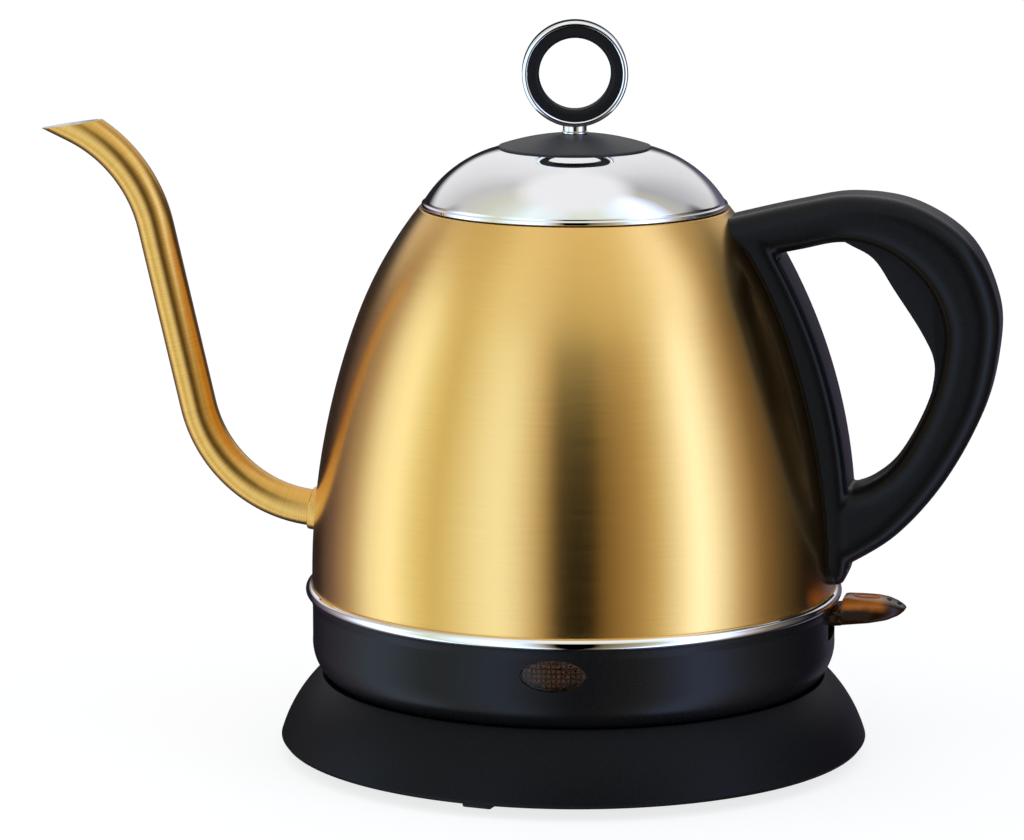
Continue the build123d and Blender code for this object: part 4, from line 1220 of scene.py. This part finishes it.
class KETTLE_OT_base(bpy.types.Operator):
    """The flared cover of the power base and its rubber feet"""

    bl_idname = "kettle.base"
    bl_label = "Power base"

    def execute(self, context):
        rim_z = COVER_LOW.z
        radius = COVER_HIGH.x
        ridge = radius - SKIRT_SPREAD
        ridge_z = COVER_HIGH.z
        deck_z = HOUSING_LOW.z - DECK_GAP
        under_deck_z = deck_z - DECK_THICKNESS
        skirt = arc_through(
            (radius, rim_z + 1.2), (radius - 3.6, rim_z + 9.5), (ridge, ridge_z), 40
        )
        under = arc_through(
            (ridge - 5.2, under_deck_z), (radius - 6.0, rim_z + 8.7), (radius - 2.4, rim_z), 20
        )
        cover = turned(
            "base_skirt",
            rounded(
                [
                    (radius - 0.9, rim_z, 0.35),
                    (*skirt[0], 0.35),
                    *skirt[1:-1],
                    (*skirt[-1], 0.35),
                    (ridge - 0.6, ridge_z, 0.35),
                    (ridge - 4.2, deck_z, 0.8),
                    (HUB_BORE, deck_z, 0.4),
                    (HUB_BORE, under_deck_z),
                    *under,
                ]
            ),
            FINISHES["base_plastic"],
            SEGMENTS_FINE,
        )
        low, high = box_mm("cord_gland")
        middle = (low + high) / 2
        bore = (high.x - low.x) / 2 - 0.55
        sides = circle(bore, 48, middle.z)
        cut(cover, prism("gland_cutter", sides, ridge - 8, radius + 5, FINISHES["base_plastic"]))
        fasten(cover, "base", "black_plastic", "base_cover")

        deep = FOOT_DEPTH / 2
        foot = prism(
            "base_foot_pads",
            rounded(
                [
                    (-deep, FEET_LOW.z, 0.6),
                    (deep, FEET_LOW.z, 0.6),
                    (deep, FEET_HIGH.z),
                    (-deep, FEET_HIGH.z),
                ]
            ),
            -FOOT_WIDTH / 2,
            FOOT_WIDTH / 2,
            FINISHES["foot_rubber"],
            0.5,
        )
        run_tree(
            foot,
            circle_tree,
            count=context.scene.kettle_sizes.foot_count,
            radius=(FOOT_OUTER_RADIUS - deep) * MM,
            first_angle=math.radians(FIRST_FOOT_TURN),
            material=FINISHES["foot_rubber"],
        )
        fasten(shade(foot), "base", "foot_rubber", "base_feet")
        return {"FINISHED"}


# Outer and inner points of the grip, in pairs from its root at the mouth to its lower end.
GRIP = (
    ((MOUTH[0] - 3.0, MOUTH[1] - 1.5), (MOUTH[0] - 0.5, MOUTH[1] - 13.2)),
    ((MOUTH[0] + 2.4, MOUTH[1]), (MOUTH[0] + 4.0, MOUTH[1] - 12.0)),
    ((BODY_RADIUS - 10.4, MOUTH[1] + 3.9), (BODY_RADIUS - 9.8, MOUTH[1] - 8.6)),
    ((BODY_RADIUS + 4.6, MOUTH[1] + 6.4), (BODY_RADIUS + 2.4, MOUTH[1] - 6.3)),
    ((BODY_RADIUS + 21.0, MOUTH[1] + 3.9), (BODY_RADIUS + 14.0, MOUTH[1] - 9.3)),
    ((BODY_RADIUS + 35.5, MOUTH[1] - 5.7), (BODY_RADIUS + 23.4, MOUTH[1] - 17.2)),
    ((BODY_RADIUS + 43.0, MOUTH[1] - 21.5), (BODY_RADIUS + 28.2, MOUTH[1] - 27.5)),
    ((BODY_RADIUS + 43.2, MOUTH[1] - 35.7), (BODY_RADIUS + 27.8, MOUTH[1] - 38.2)),
    ((BODY_RADIUS + 39.3, FOOT_Z + 48.2), (BODY_RADIUS + 24.2, FOOT_Z + 49.5)),
    ((BODY_RADIUS + 29.5, FOOT_Z + 29.6), (BODY_RADIUS + 17.0, FOOT_Z + 36.0)),
    ((BODY_RADIUS + 17.0, FOOT_Z + 15.0), (BODY_RADIUS + 10.0, FOOT_Z + 29.6)),
    ((STRIP_FACE - 1.2, FOOT_Z + 6.0), (STRIP_FACE - 1.2, FOOT_Z + 27.0)),
)
# The finger side of the web that fills the grip's upper corner, from below to above.
WEB_EDGE = (
    (BODY_RADIUS + 27.5, FOOT_Z + 42.0),
    (BODY_RADIUS + 26.0, FOOT_Z + 51.5),
    (BODY_RADIUS + 26.9, MOUTH[1] - 38.2),
    (BODY_RADIUS + 23.7, MOUTH[1] - 30.2),
    (BODY_RADIUS + 15.8, MOUTH[1] - 18.2),
    (BODY_RADIUS + 10.4, MOUTH[1] - 10.3),
    (BODY_RADIUS + 4.0, MOUTH[1] - 6.6),
    (BODY_RADIUS - 3.0, MOUTH[1] - 3.0),
)


def grip_rings():
    """Rounded sections of the grip along its smooth outer and inner lines."""
    outer = smooth_line([pair[0] for pair in GRIP], 9)
    inner = smooth_line([pair[1] for pair in GRIP], 9)
    rings = []
    for out_point, in_point in zip(outer, inner):
        depth = (out_point - in_point).length
        across = (out_point - in_point) / depth
        middle = (out_point + in_point) / 2
        radius = min(5.6, depth / 2 - 0.2)
        half, wide = depth / 2, HANDLE_HALF_WIDTH
        ends = ((-half, -wide), (half, -wide), (half, wide), (-half, wide))
        section = rounded([(*end, radius) for end in ends], 7.5)[:-1]
        rings.append([(middle.x + across.x * a, y, middle.y + across.y * a) for a, y in section])
    return rings


def strip_face(z):
    """How far out the strip's face stands at height z."""
    if z <= STRIP_BEND_Z:
        return STRIP_FACE
    line = arc_along((STRIP_FACE, STRIP_BEND_Z), (0, 1), STRIP_TOP, 30)
    found = radius_at(line, z)
    if found is not None:
        return found
    (r0, z0), (r1, z1) = line[-2:]
    return r1 + (r1 - r0) * (z - z1) / (z1 - z0)


def strip_rings():
    """Sections of the strip that backs the grip, level, from its rounded foot upwards."""
    low = STRIP_LOW.z + 1.0
    tongue = 6.5
    heights = [low + tongue * (1 - math.cos(step * math.pi / 24)) for step in range(13)]
    heights += [low + tongue + 1.5 * step for step in range(1, 59)]
    rings = []
    for z in heights:
        rise = min((z - low) / tongue, 1.0)
        tuck = 1 - math.sqrt(max(1 - (1 - rise) ** 2, 0.0))
        wide = HANDLE_HALF_WIDTH - 5.0 * tuck
        face = strip_face(z) - 2.6 * tuck
        back = wall_radius(z) - 1.2
        ring = [(back, -wide), (back, wide), (face, wide, 2.3), (face, -wide, 2.3)]
        rings.append([(x, y, z) for x, y in rounded(ring, 15.0)[:-1]])
    return rings


class KETTLE_OT_handle(bpy.types.Operator):
    """The moulded handle, the cover over its screws and the liner inside its grip"""

    bl_idname = "kettle.handle"
    bl_label = "Handle"

    def execute(self, context):
        finish = FINISHES["handle_plastic"]
        handle = shade(lofted("handle_moulding", grip_rings(), finish))
        strip = shade(lofted("handle_strip", strip_rings(), finish))
        join(handle, strip)
        melt = handle.modifiers.new("Melt", "REMESH")
        melt.mode = "VOXEL"
        melt.voxel_size = context.scene.kettle_sizes.handle_grid
        melt.use_smooth_shade = True
        relax = handle.modifiers.new("Relax", "SMOOTH")
        relax.factor = 0.5
        relax.iterations = 10
        bake(handle)
        handle.data.materials.clear()
        handle.data.materials.append(finish)
        core = [(BODY_RADIUS - 0.12, 20.0), *body_side(-0.12), (0.0, MOUTH[1] + 2), (0.0, 20.0)]
        cut(handle, turned("core_cutter", rounded(core), finish, SEGMENTS_FINE), sharp=60.0)
        fasten(handle, "kettle", "black_plastic", "handle_body")

        low = STRIP_LOW.z + 6.0
        proud = STRIP_FACE + 0.35
        sunk = STRIP_FACE - COVER_DEPTH
        top_radius, top_z = STRIP_TOP
        face = arc_along((proud, STRIP_BEND_Z), (0, 1), (top_radius + 0.35, top_z), 36)
        back = arc_along((sunk, STRIP_BEND_Z), (0, 1), (top_radius - COVER_DEPTH, top_z), 36)
        cover = prism(
            "handle_screw_cover",
            [(sunk, low), (proud, low), *face, *reversed(back)],
            -INSET_HALF_WIDTH,
            INSET_HALF_WIDTH,
            finish,
            0.4,
        )
        fasten(cover, "kettle", "black_plastic", "handle_cover")

        edge = [tuple(point) for point in smooth_line(WEB_EDGE, 10)]
        middles = [
            ((outer[0] + 2 * inner[0]) / 3, (outer[1] + 2 * inner[1]) / 3)
            for outer, inner in GRIP[3:9]
        ]
        deep = [tuple(point) for point in smooth_line(middles, 4)]
        web = prism(
            "grip_web",
            [*edge, *deep],
            -INSET_HALF_WIDTH,
            INSET_HALF_WIDTH,
            FINISHES["liner_rubber"],
            2.4,
        )
        fasten(web, "kettle", "liner_rubber", "grip_liner")
        return {"FINISHED"}


def on_line(line, x):
    """Height of a line of (x, z) points at x."""
    for (x0, z0), (x1, z1) in zip(line, line[1:]):
        if x0 <= x <= x1:
            return z0 + (z1 - z0) * (x - x0) / (x1 - x0)
    return line[-1][1]


class KETTLE_OT_switch(bpy.types.Operator):
    """The see-through switch lever with its raised oval and two nubs"""

    bl_idname = "kettle.switch"
    bl_label = "Switch lever"

    def execute(self, context):
        root, tip, low = LEVER_LOW.x, LEVER_HIGH.x, LEVER_LOW.z
        step_x = TRIM_HIGH.x + 0.8
        half_width = LEVER_HIGH.y
        top = [
            (root, low + 4.6),
            (step_x, low + 5.4),
            (step_x + 0.05, low + 7.0),
            (step_x + 0.5, low + 7.7),
            (step_x + 1.3, low + 7.9),
            (tip - 12, low + 7.9),
            (tip - 8, low + 7.75),
            (tip - 5, low + 7.3),
            (tip - 2.4, low + 6.4),
            (tip - 0.8, low + 5.6),
            (tip, low + 5.0),
        ]
        under = [
            (root, low + 0.6),
            (step_x - 1.5, low),
            (tip - 10, low + 1.0),
            (tip - 5.0, low + 2.0),
            (tip - 2.0, low + 3.2),
            (tip - 0.6, low + 4.2),
            (tip, low + 5.0),
        ]
        stations = [root + (step_x - root) * part / 14 for part in range(15)]
        stations += [step_x + 0.05, step_x + 0.25, step_x + 0.5, step_x + 0.9, step_x + 1.3]
        blade = tip - step_x - 1.3
        stations += [
            step_x + 1.3 + blade * math.sin(part * math.pi / 72) for part in range(1, 37)
        ]
        rings = []
        for x in stations:
            high, deep = on_line(top, x), on_line(under, x)
            beyond = max((x - (tip - 9)) / 9, 0.0)
            wide = max(half_width * math.sqrt(max(1 - beyond * beyond, 0.0)), 0.02)
            middle, half = (high + deep) / 2, max((high - deep) / 2, 0.01)
            ring = []
            for part in range(40):
                turn = part * math.tau / 40
                side, rise = math.cos(turn), math.sin(turn)
                ring.append(
                    (
                        x,
                        wide * math.copysign(abs(side) ** 0.6, side),
                        middle + half * math.copysign(abs(rise) ** 0.6, rise),
                    )
                )
            rings.append(ring)
        lever = shade(lofted("switch_lever_moulding", rings, FINISHES["amber_plastic"]))
        marks = [self.oval(tip - 10.8, low + 7.75)]
        marks += [self.nub(tip - 4.7, low + 7.15), self.nub(tip - 2.0, low + 6.15)]
        join(lever, *marks)
        fasten(lever, "lever", "amber_plastic", "switch_lever")
        return {"FINISHED"}

    def oval(self, x, z):
        """A low raised oval on the lever's top."""
        oval = turned(
            "lever_oval",
            rounded(
                [
                    (0.0, -0.4),
                    (3.3, -0.4),
                    (3.3, 0.35, 0.3),
                    (2.7, 0.35, 0.2),
                    (2.5, 0.1),
                    (0.0, 0.1),
                ]
            ),
            FINISHES["amber_plastic"],
            48,
        )
        return warp(oval, lambda place: (x + place.x * 1.1, place.y * 0.72, z + place.z))

    def nub(self, x, z):
        """A small raised nub on the lever's top."""
        nub = turned(
            "lever_nub",
            rounded([(0.0, -0.4), (0.7, -0.4), (0.7, 0.45, 0.4), (0.0, 0.45)]),
            FINISHES["amber_plastic"],
            24,
        )
        return warp(nub, lambda place: (x + place.x, place.y, z + place.z))


class KETTLE_OT_lid(bpy.types.Operator):
    """The polished dome, the cap on it and the ring knob"""

    bl_idname = "kettle.lid"
    bl_label = "Lid and knob"

    def execute(self, context):
        rim_z, radius = DOME_LOW.z, DOME_HIGH.x
        cap_radius = CAP_HIGH.x
        top = DOME_HIGH.z
        dome_arc = arc_through(
            (radius - 0.75, rim_z + 1.5), (radius - 9.1, rim_z + 10.4), (cap_radius, top), 48
        )
        inner_arc = arc_through(
            (cap_radius - 0.3, top - LID_SHEET),
            (radius - 9.7, rim_z + 9.8),
            (radius - 1.6, rim_z + LID_SHEET),
            32,
        )
        dome = turned(
            "lid_shell",
            rounded(
                [
                    (radius - 4.8, rim_z),
                    (radius, rim_z, 0.25),
                    (radius, rim_z + 1.15, 0.45),
                    (radius - 0.75, rim_z + 1.2, 0.1),
                    *dome_arc,
                    (KNOB_SCREW_HOLE, top),
                    (KNOB_SCREW_HOLE, top - LID_SHEET),
                    *inner_arc,
                    (radius - 4.8, rim_z + LID_SHEET),
                ]
            ),
            FINISHES["chrome"],
            SEGMENTS_FINE,
        )
        fasten(dome, "lid", "chrome", "lid_dome")

        peak = (4.1, CAP_HIGH.z)
        crown = arc_through((cap_radius, CAP_LOW.z + 0.45), (11.4, CAP_LOW.z + 2.78), peak, 40)
        cap = turned(
            "lid_cap_moulding",
            rounded(
                [
                    (KNOB_SCREW_HOLE, CAP_LOW.z),
                    (cap_radius, CAP_LOW.z, 0.12),
                    *crown,
                    (KNOB_SCREW_HOLE, peak[1]),
                ]
            ),
            FINISHES["cap_plastic"],
            256,
        )
        fasten(cap, "lid", "cap_plastic", "lid_cap")

        knob_place = Matrix.Translation((0, 0, RING_Z * MM))
        knob_place = knob_place @ Matrix.Rotation(math.radians(LID_TURN), 4, "Z")
        knob_place = knob_place @ Matrix.Rotation(math.radians(90), 4, "X")
        half = RING_DEPTH / 2
        bezel = turned(
            "knob_bezel",
            rounded(
                [
                    (RING_OUTER - RING_BEZEL, -half + 0.25),
                    (RING_OUTER - RING_BEZEL + 0.25, -half, 0.2),
                    (RING_OUTER, -half, 0.95),
                    (RING_OUTER, half, 0.95),
                    (RING_OUTER - RING_BEZEL + 0.25, half, 0.2),
                    (RING_OUTER - RING_BEZEL, half - 0.25),
                ]
            ),
            FINISHES["chrome"],
            160,
        )
        bezel.data.transform(knob_place)
        foot_z = RING_LOW.z
        neck = turned(
            "knob_neck",
            rounded(
                [
                    (1.5, foot_z),
                    (3.5, foot_z, 0.15),
                    (3.5, foot_z + 0.5, 0.2),
                    (3.2, foot_z + 0.8, 0.2),
                    (3.2, foot_z + 3.1),
                    (1.5, foot_z + 3.1),
                ]
            ),
            FINISHES["chrome"],
            96,
        )
        cut(bezel, neck, "UNION")
        fasten(bezel, "lid", "chrome", "knob_ring")

        insert = turned(
            "knob_insert_moulding",
            rounded(
                [
                    (RING_HOLE, -half + 0.5, 1.3),
                    (RING_OUTER - RING_BEZEL - 0.05, -half + 0.5, 0.3),
                    (RING_OUTER - RING_BEZEL - 0.05, half - 0.5, 0.3),
                    (RING_HOLE, half - 0.5, 1.3),
                ]
            ),
            FINISHES["insert_plastic"],
            128,
        )
        insert.data.transform(knob_place)
        fasten(insert, "lid", "black_plastic", "knob_insert")
        return {"FINISHED"}


class KETTLE_OT_fittings(bpy.types.Operator):
    """Finishes of the pieces that keep their CAD shapes"""

    bl_idname = "kettle.fittings"
    bl_label = "Fittings"

    def execute(self, context):
        for part in frame["record"]["subparts"]:
            node = frame["nodes"][part["node"]]
            if node.hide_render:
                continue
            slot = part["material_slot"]
            for place in node.material_slots:
                place.material = FINISHES["base_plastic" if slot == "black_plastic" else slot]
        return {"FINISHED"}


# ============================================================ studio
class KETTLE_OT_stage(bpy.types.Operator):
    """The pale floor, the soft light round it and the camera"""

    bl_idname = "kettle.stage"
    bl_label = "Stage"

    def execute(self, context):
        self.make_floor(context)
        self.make_light(context)
        self.make_camera(context)
        context.scene.view_settings.view_transform = "Standard"
        return {"FINISHED"}

    def make_floor(self, context):
        sizes, colours = context.scene.kettle_sizes, context.scene.kettle_colours
        mesh = bpy.data.meshes.new("studio_floor")
        work = bmesh.new()
        bmesh.ops.create_circle(work, cap_ends=True, radius=sizes.floor_radius, segments=96)
        work.to_mesh(mesh)
        work.free()
        floor = link_new("studio_floor", mesh)
        floor.visible_glossy = False
        mesh.transform(Matrix.Translation((0, 0, -0.2 * MM)))
        material, tree, shader = new_finish("floor_paper")
        fibre = grain(tree, 500.0, 3.0)
        pale = tuple(colours.floor)
        tree.links.new(tint(tree, fibre, scaled(pale, 0.98), pale), shader.inputs["Base Color"])
        inputs = {
            "Roughness": 1.0,
            "Specular IOR Level": 0.0,
            "Emission Color": (1, 1, 1, 1),
            "Emission Strength": 0.78,
        }
        feed(tree, shader, inputs)
        mesh.materials.append(material)

    def make_light(self, context):
        """Soft light by direction: bright panels to both sides, dark gaps in front and behind."""
        world = bpy.data.worlds.new("studio_light")
        context.scene.world = world
        world.use_nodes = True
        tree = world.node_tree
        tree.nodes.clear()
        way = add_node(tree, "ShaderNodeTexCoord").outputs["Generated"]
        turned_way = add_node(
            tree,
            "ShaderNodeVectorRotate",
            {"Vector": way, "Angle": -CAMERA_AZIMUTH},
            rotation_type="Z_AXIS",
        )
        parts = add_node(tree, "ShaderNodeSeparateXYZ", {"Vector": turned_way.outputs[0]})
        azimuth = maths(tree, "ARCTAN2", parts.outputs["Y"], parts.outputs["X"])
        share = maths(tree, "MULTIPLY_ADD", azimuth, 1 / math.tau, 0.5)
        panels = self.ramp(
            tree,
            share,
            (
                (-180, (0.02, 0.02, 0.025)),
                (-150, (0.02, 0.015, 0.02)),
                (-131, (0.19, 0.15, 0.19)),
                (-115, (0.5, 0.46, 0.46)),
                (-100, (1.1, 1.35, 1.75)),
                (-88, (1.3, 1.65, 2.2)),
                (-75, (0.93, 1.08, 1.05)),
                (-64, (0.72, 0.76, 0.58)),
                (-54, (0.87, 1.0, 1.0)),
                (-40, (1.1, 1.4, 1.9)),
                (-32, (1.15, 1.5, 2.1)),
                (-24, (0.95, 1.15, 1.45)),
                (-15, (0.56, 0.52, 0.44)),
                (-9, (0.12, 0.09, 0.05)),
                (-7, (0.0, 0.0, 0.0)),
                (9, (0.0, 0.0, 0.0)),
                (12, (0.16, 0.12, 0.07)),
                (28, (0.42, 0.36, 0.25)),
                (37, (0.65, 0.65, 0.52)),
                (47, (1.05, 1.3, 1.8)),
                (57, (1.6, 2.0, 3.4)),
                (67, (1.1, 1.4, 2.1)),
                (78, (0.6, 0.58, 0.6)),
                (90, (0.26, 0.21, 0.16)),
                (104, (0.1, 0.09, 0.08)),
                (120, (0.01, 0.01, 0.012)),
                (136, (0.02, 0.018, 0.025)),
                (150, (0.16, 0.14, 0.2)),
                (165, (0.12, 0.11, 0.15)),
                (180, (0.02, 0.02, 0.025)),
            ),
        )
        overhead = self.ramp(
            tree,
            share,
            (
                (-180, (0.9, 0.9, 0.91)),
                (-150, (0.8, 0.8, 0.81)),
                (-123, (0.6, 0.59, 0.59)),
                (-94, (0.67, 0.67, 0.56)),
                (-72, (0.75, 0.79, 0.7)),
                (-48, (0.93, 1.04, 1.06)),
                (-22, (0.86, 0.95, 0.98)),
                (0, (0.78, 0.82, 0.7)),
                (28, (0.82, 0.86, 0.76)),
                (53, (0.97, 1.1, 1.25)),
                (76, (1.3, 1.55, 2.2)),
                (99, (0.55, 0.53, 0.46)),
                (115, (0.45, 0.45, 0.46)),
                (129, (0.55, 0.55, 0.57)),
                (150, (0.75, 0.75, 0.76)),
                (180, (0.9, 0.9, 0.91)),
            ),
        )
        height = parts.outputs["Z"]
        behind = eased(tree, maths(tree, "ABSOLUTE", azimuth), 2.05, 2.4, 0.0, 0.3)
        above = eased(tree, maths(tree, "ADD", height, behind), 0.44, 0.6)
        sky = add_node(
            tree,
            "ShaderNodeMix",
            {MIX_FACTOR: above, MIX_A: panels, MIX_B: overhead},
            data_type="RGBA",
        )
        zenith = eased(tree, height, 0.86, 0.96)
        dome = add_node(
            tree,
            "ShaderNodeMix",
            {MIX_FACTOR: zenith, MIX_A: sky.outputs[2], MIX_B: (0.93, 0.93, 0.94, 1)},
            data_type="RGBA",
        )
        rays = add_node(tree, "ShaderNodeLightPath")
        seen = add_node(tree, "ShaderNodeBackground", {"Color": (1, 1, 1, 1), "Strength": 1.0})
        lit = add_node(tree, "ShaderNodeBackground", {"Color": dome.outputs[2], "Strength": 1.0})
        mixed = add_node(
            tree,
            "ShaderNodeMixShader",
            {0: rays.outputs["Is Camera Ray"], 1: lit.outputs[0], 2: seen.outputs[0]},
        )
        output = tree.nodes.new("ShaderNodeOutputWorld")
        tree.links.new(mixed.outputs[0], output.inputs["Surface"])

    def ramp(self, tree, share, stops):
        """A colour by angle, from stops of (degrees from the camera's side, colour)."""
        made = add_node(tree, "ShaderNodeValToRGB", {"Fac": share})
        elements = made.color_ramp.elements
        while len(elements) < len(stops):
            elements.new(0.5)
        for element, (degrees, colour) in zip(elements, stops):
            element.position = degrees / 360 + 0.5
            element.color = (*colour, 1)
        return made.outputs["Color"]

    def make_camera(self, context):
        data = bpy.data.cameras.new("studio_camera")
        data.lens = CAMERA_LENS
        data.sensor_width = 36.0
        data.clip_start = 0.05
        data.clip_end = 40.0
        camera = bpy.data.objects.new("studio_camera", data)
        camera.location = CAMERA_PLACE
        camera.rotation_euler = (math.radians(90 - CAMERA_DOWN), 0, math.radians(CAMERA_TURN))
        context.scene.collection.objects.link(camera)
        context.scene.camera = camera


OPERATORS = (
    KETTLE_OT_body,
    KETTLE_OT_spout,
    KETTLE_OT_housing,
    KETTLE_OT_base,
    KETTLE_OT_handle,
    KETTLE_OT_switch,
    KETTLE_OT_lid,
    KETTLE_OT_fittings,
    KETTLE_OT_stage,
)


class KETTLE_PT_panel(bpy.types.Panel):
    """Sizes, colours and pieces of the kettle"""

    bl_idname = "KETTLE_PT_panel"
    bl_label = "Gooseneck kettle"
    bl_space_type = "VIEW_3D"
    bl_region_type = "UI"
    bl_category = "Kettle"

    def draw(self, context):
        for group in (context.scene.kettle_sizes, context.scene.kettle_colours):
            column = self.layout.column()
            for name in group.__annotations__:
                column.prop(group, name)
        for operator in OPERATORS:
            self.layout.operator(operator.bl_idname)


CLASSES = (KettleSizes, KettleColours, *OPERATORS, KETTLE_PT_panel)


def register():
    for each in CLASSES:
        bpy.utils.register_class(each)
    bpy.types.Scene.kettle_sizes = PointerProperty(type=KettleSizes)
    bpy.types.Scene.kettle_colours = PointerProperty(type=KettleColours)


def unregister():
    del bpy.types.Scene.kettle_sizes
    del bpy.types.Scene.kettle_colours
    for each in reversed(CLASSES):
        bpy.utils.unregister_class(each)


def main():
    """Build the kettle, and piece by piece."""
    register()
    make_finishes(bpy.context.scene.kettle_colours)
    for operator in OPERATORS:
        group, name = operator.bl_idname.split(".")
        getattr(getattr(bpy.ops, group), name)()


if __name__ == "__main__":
    main()
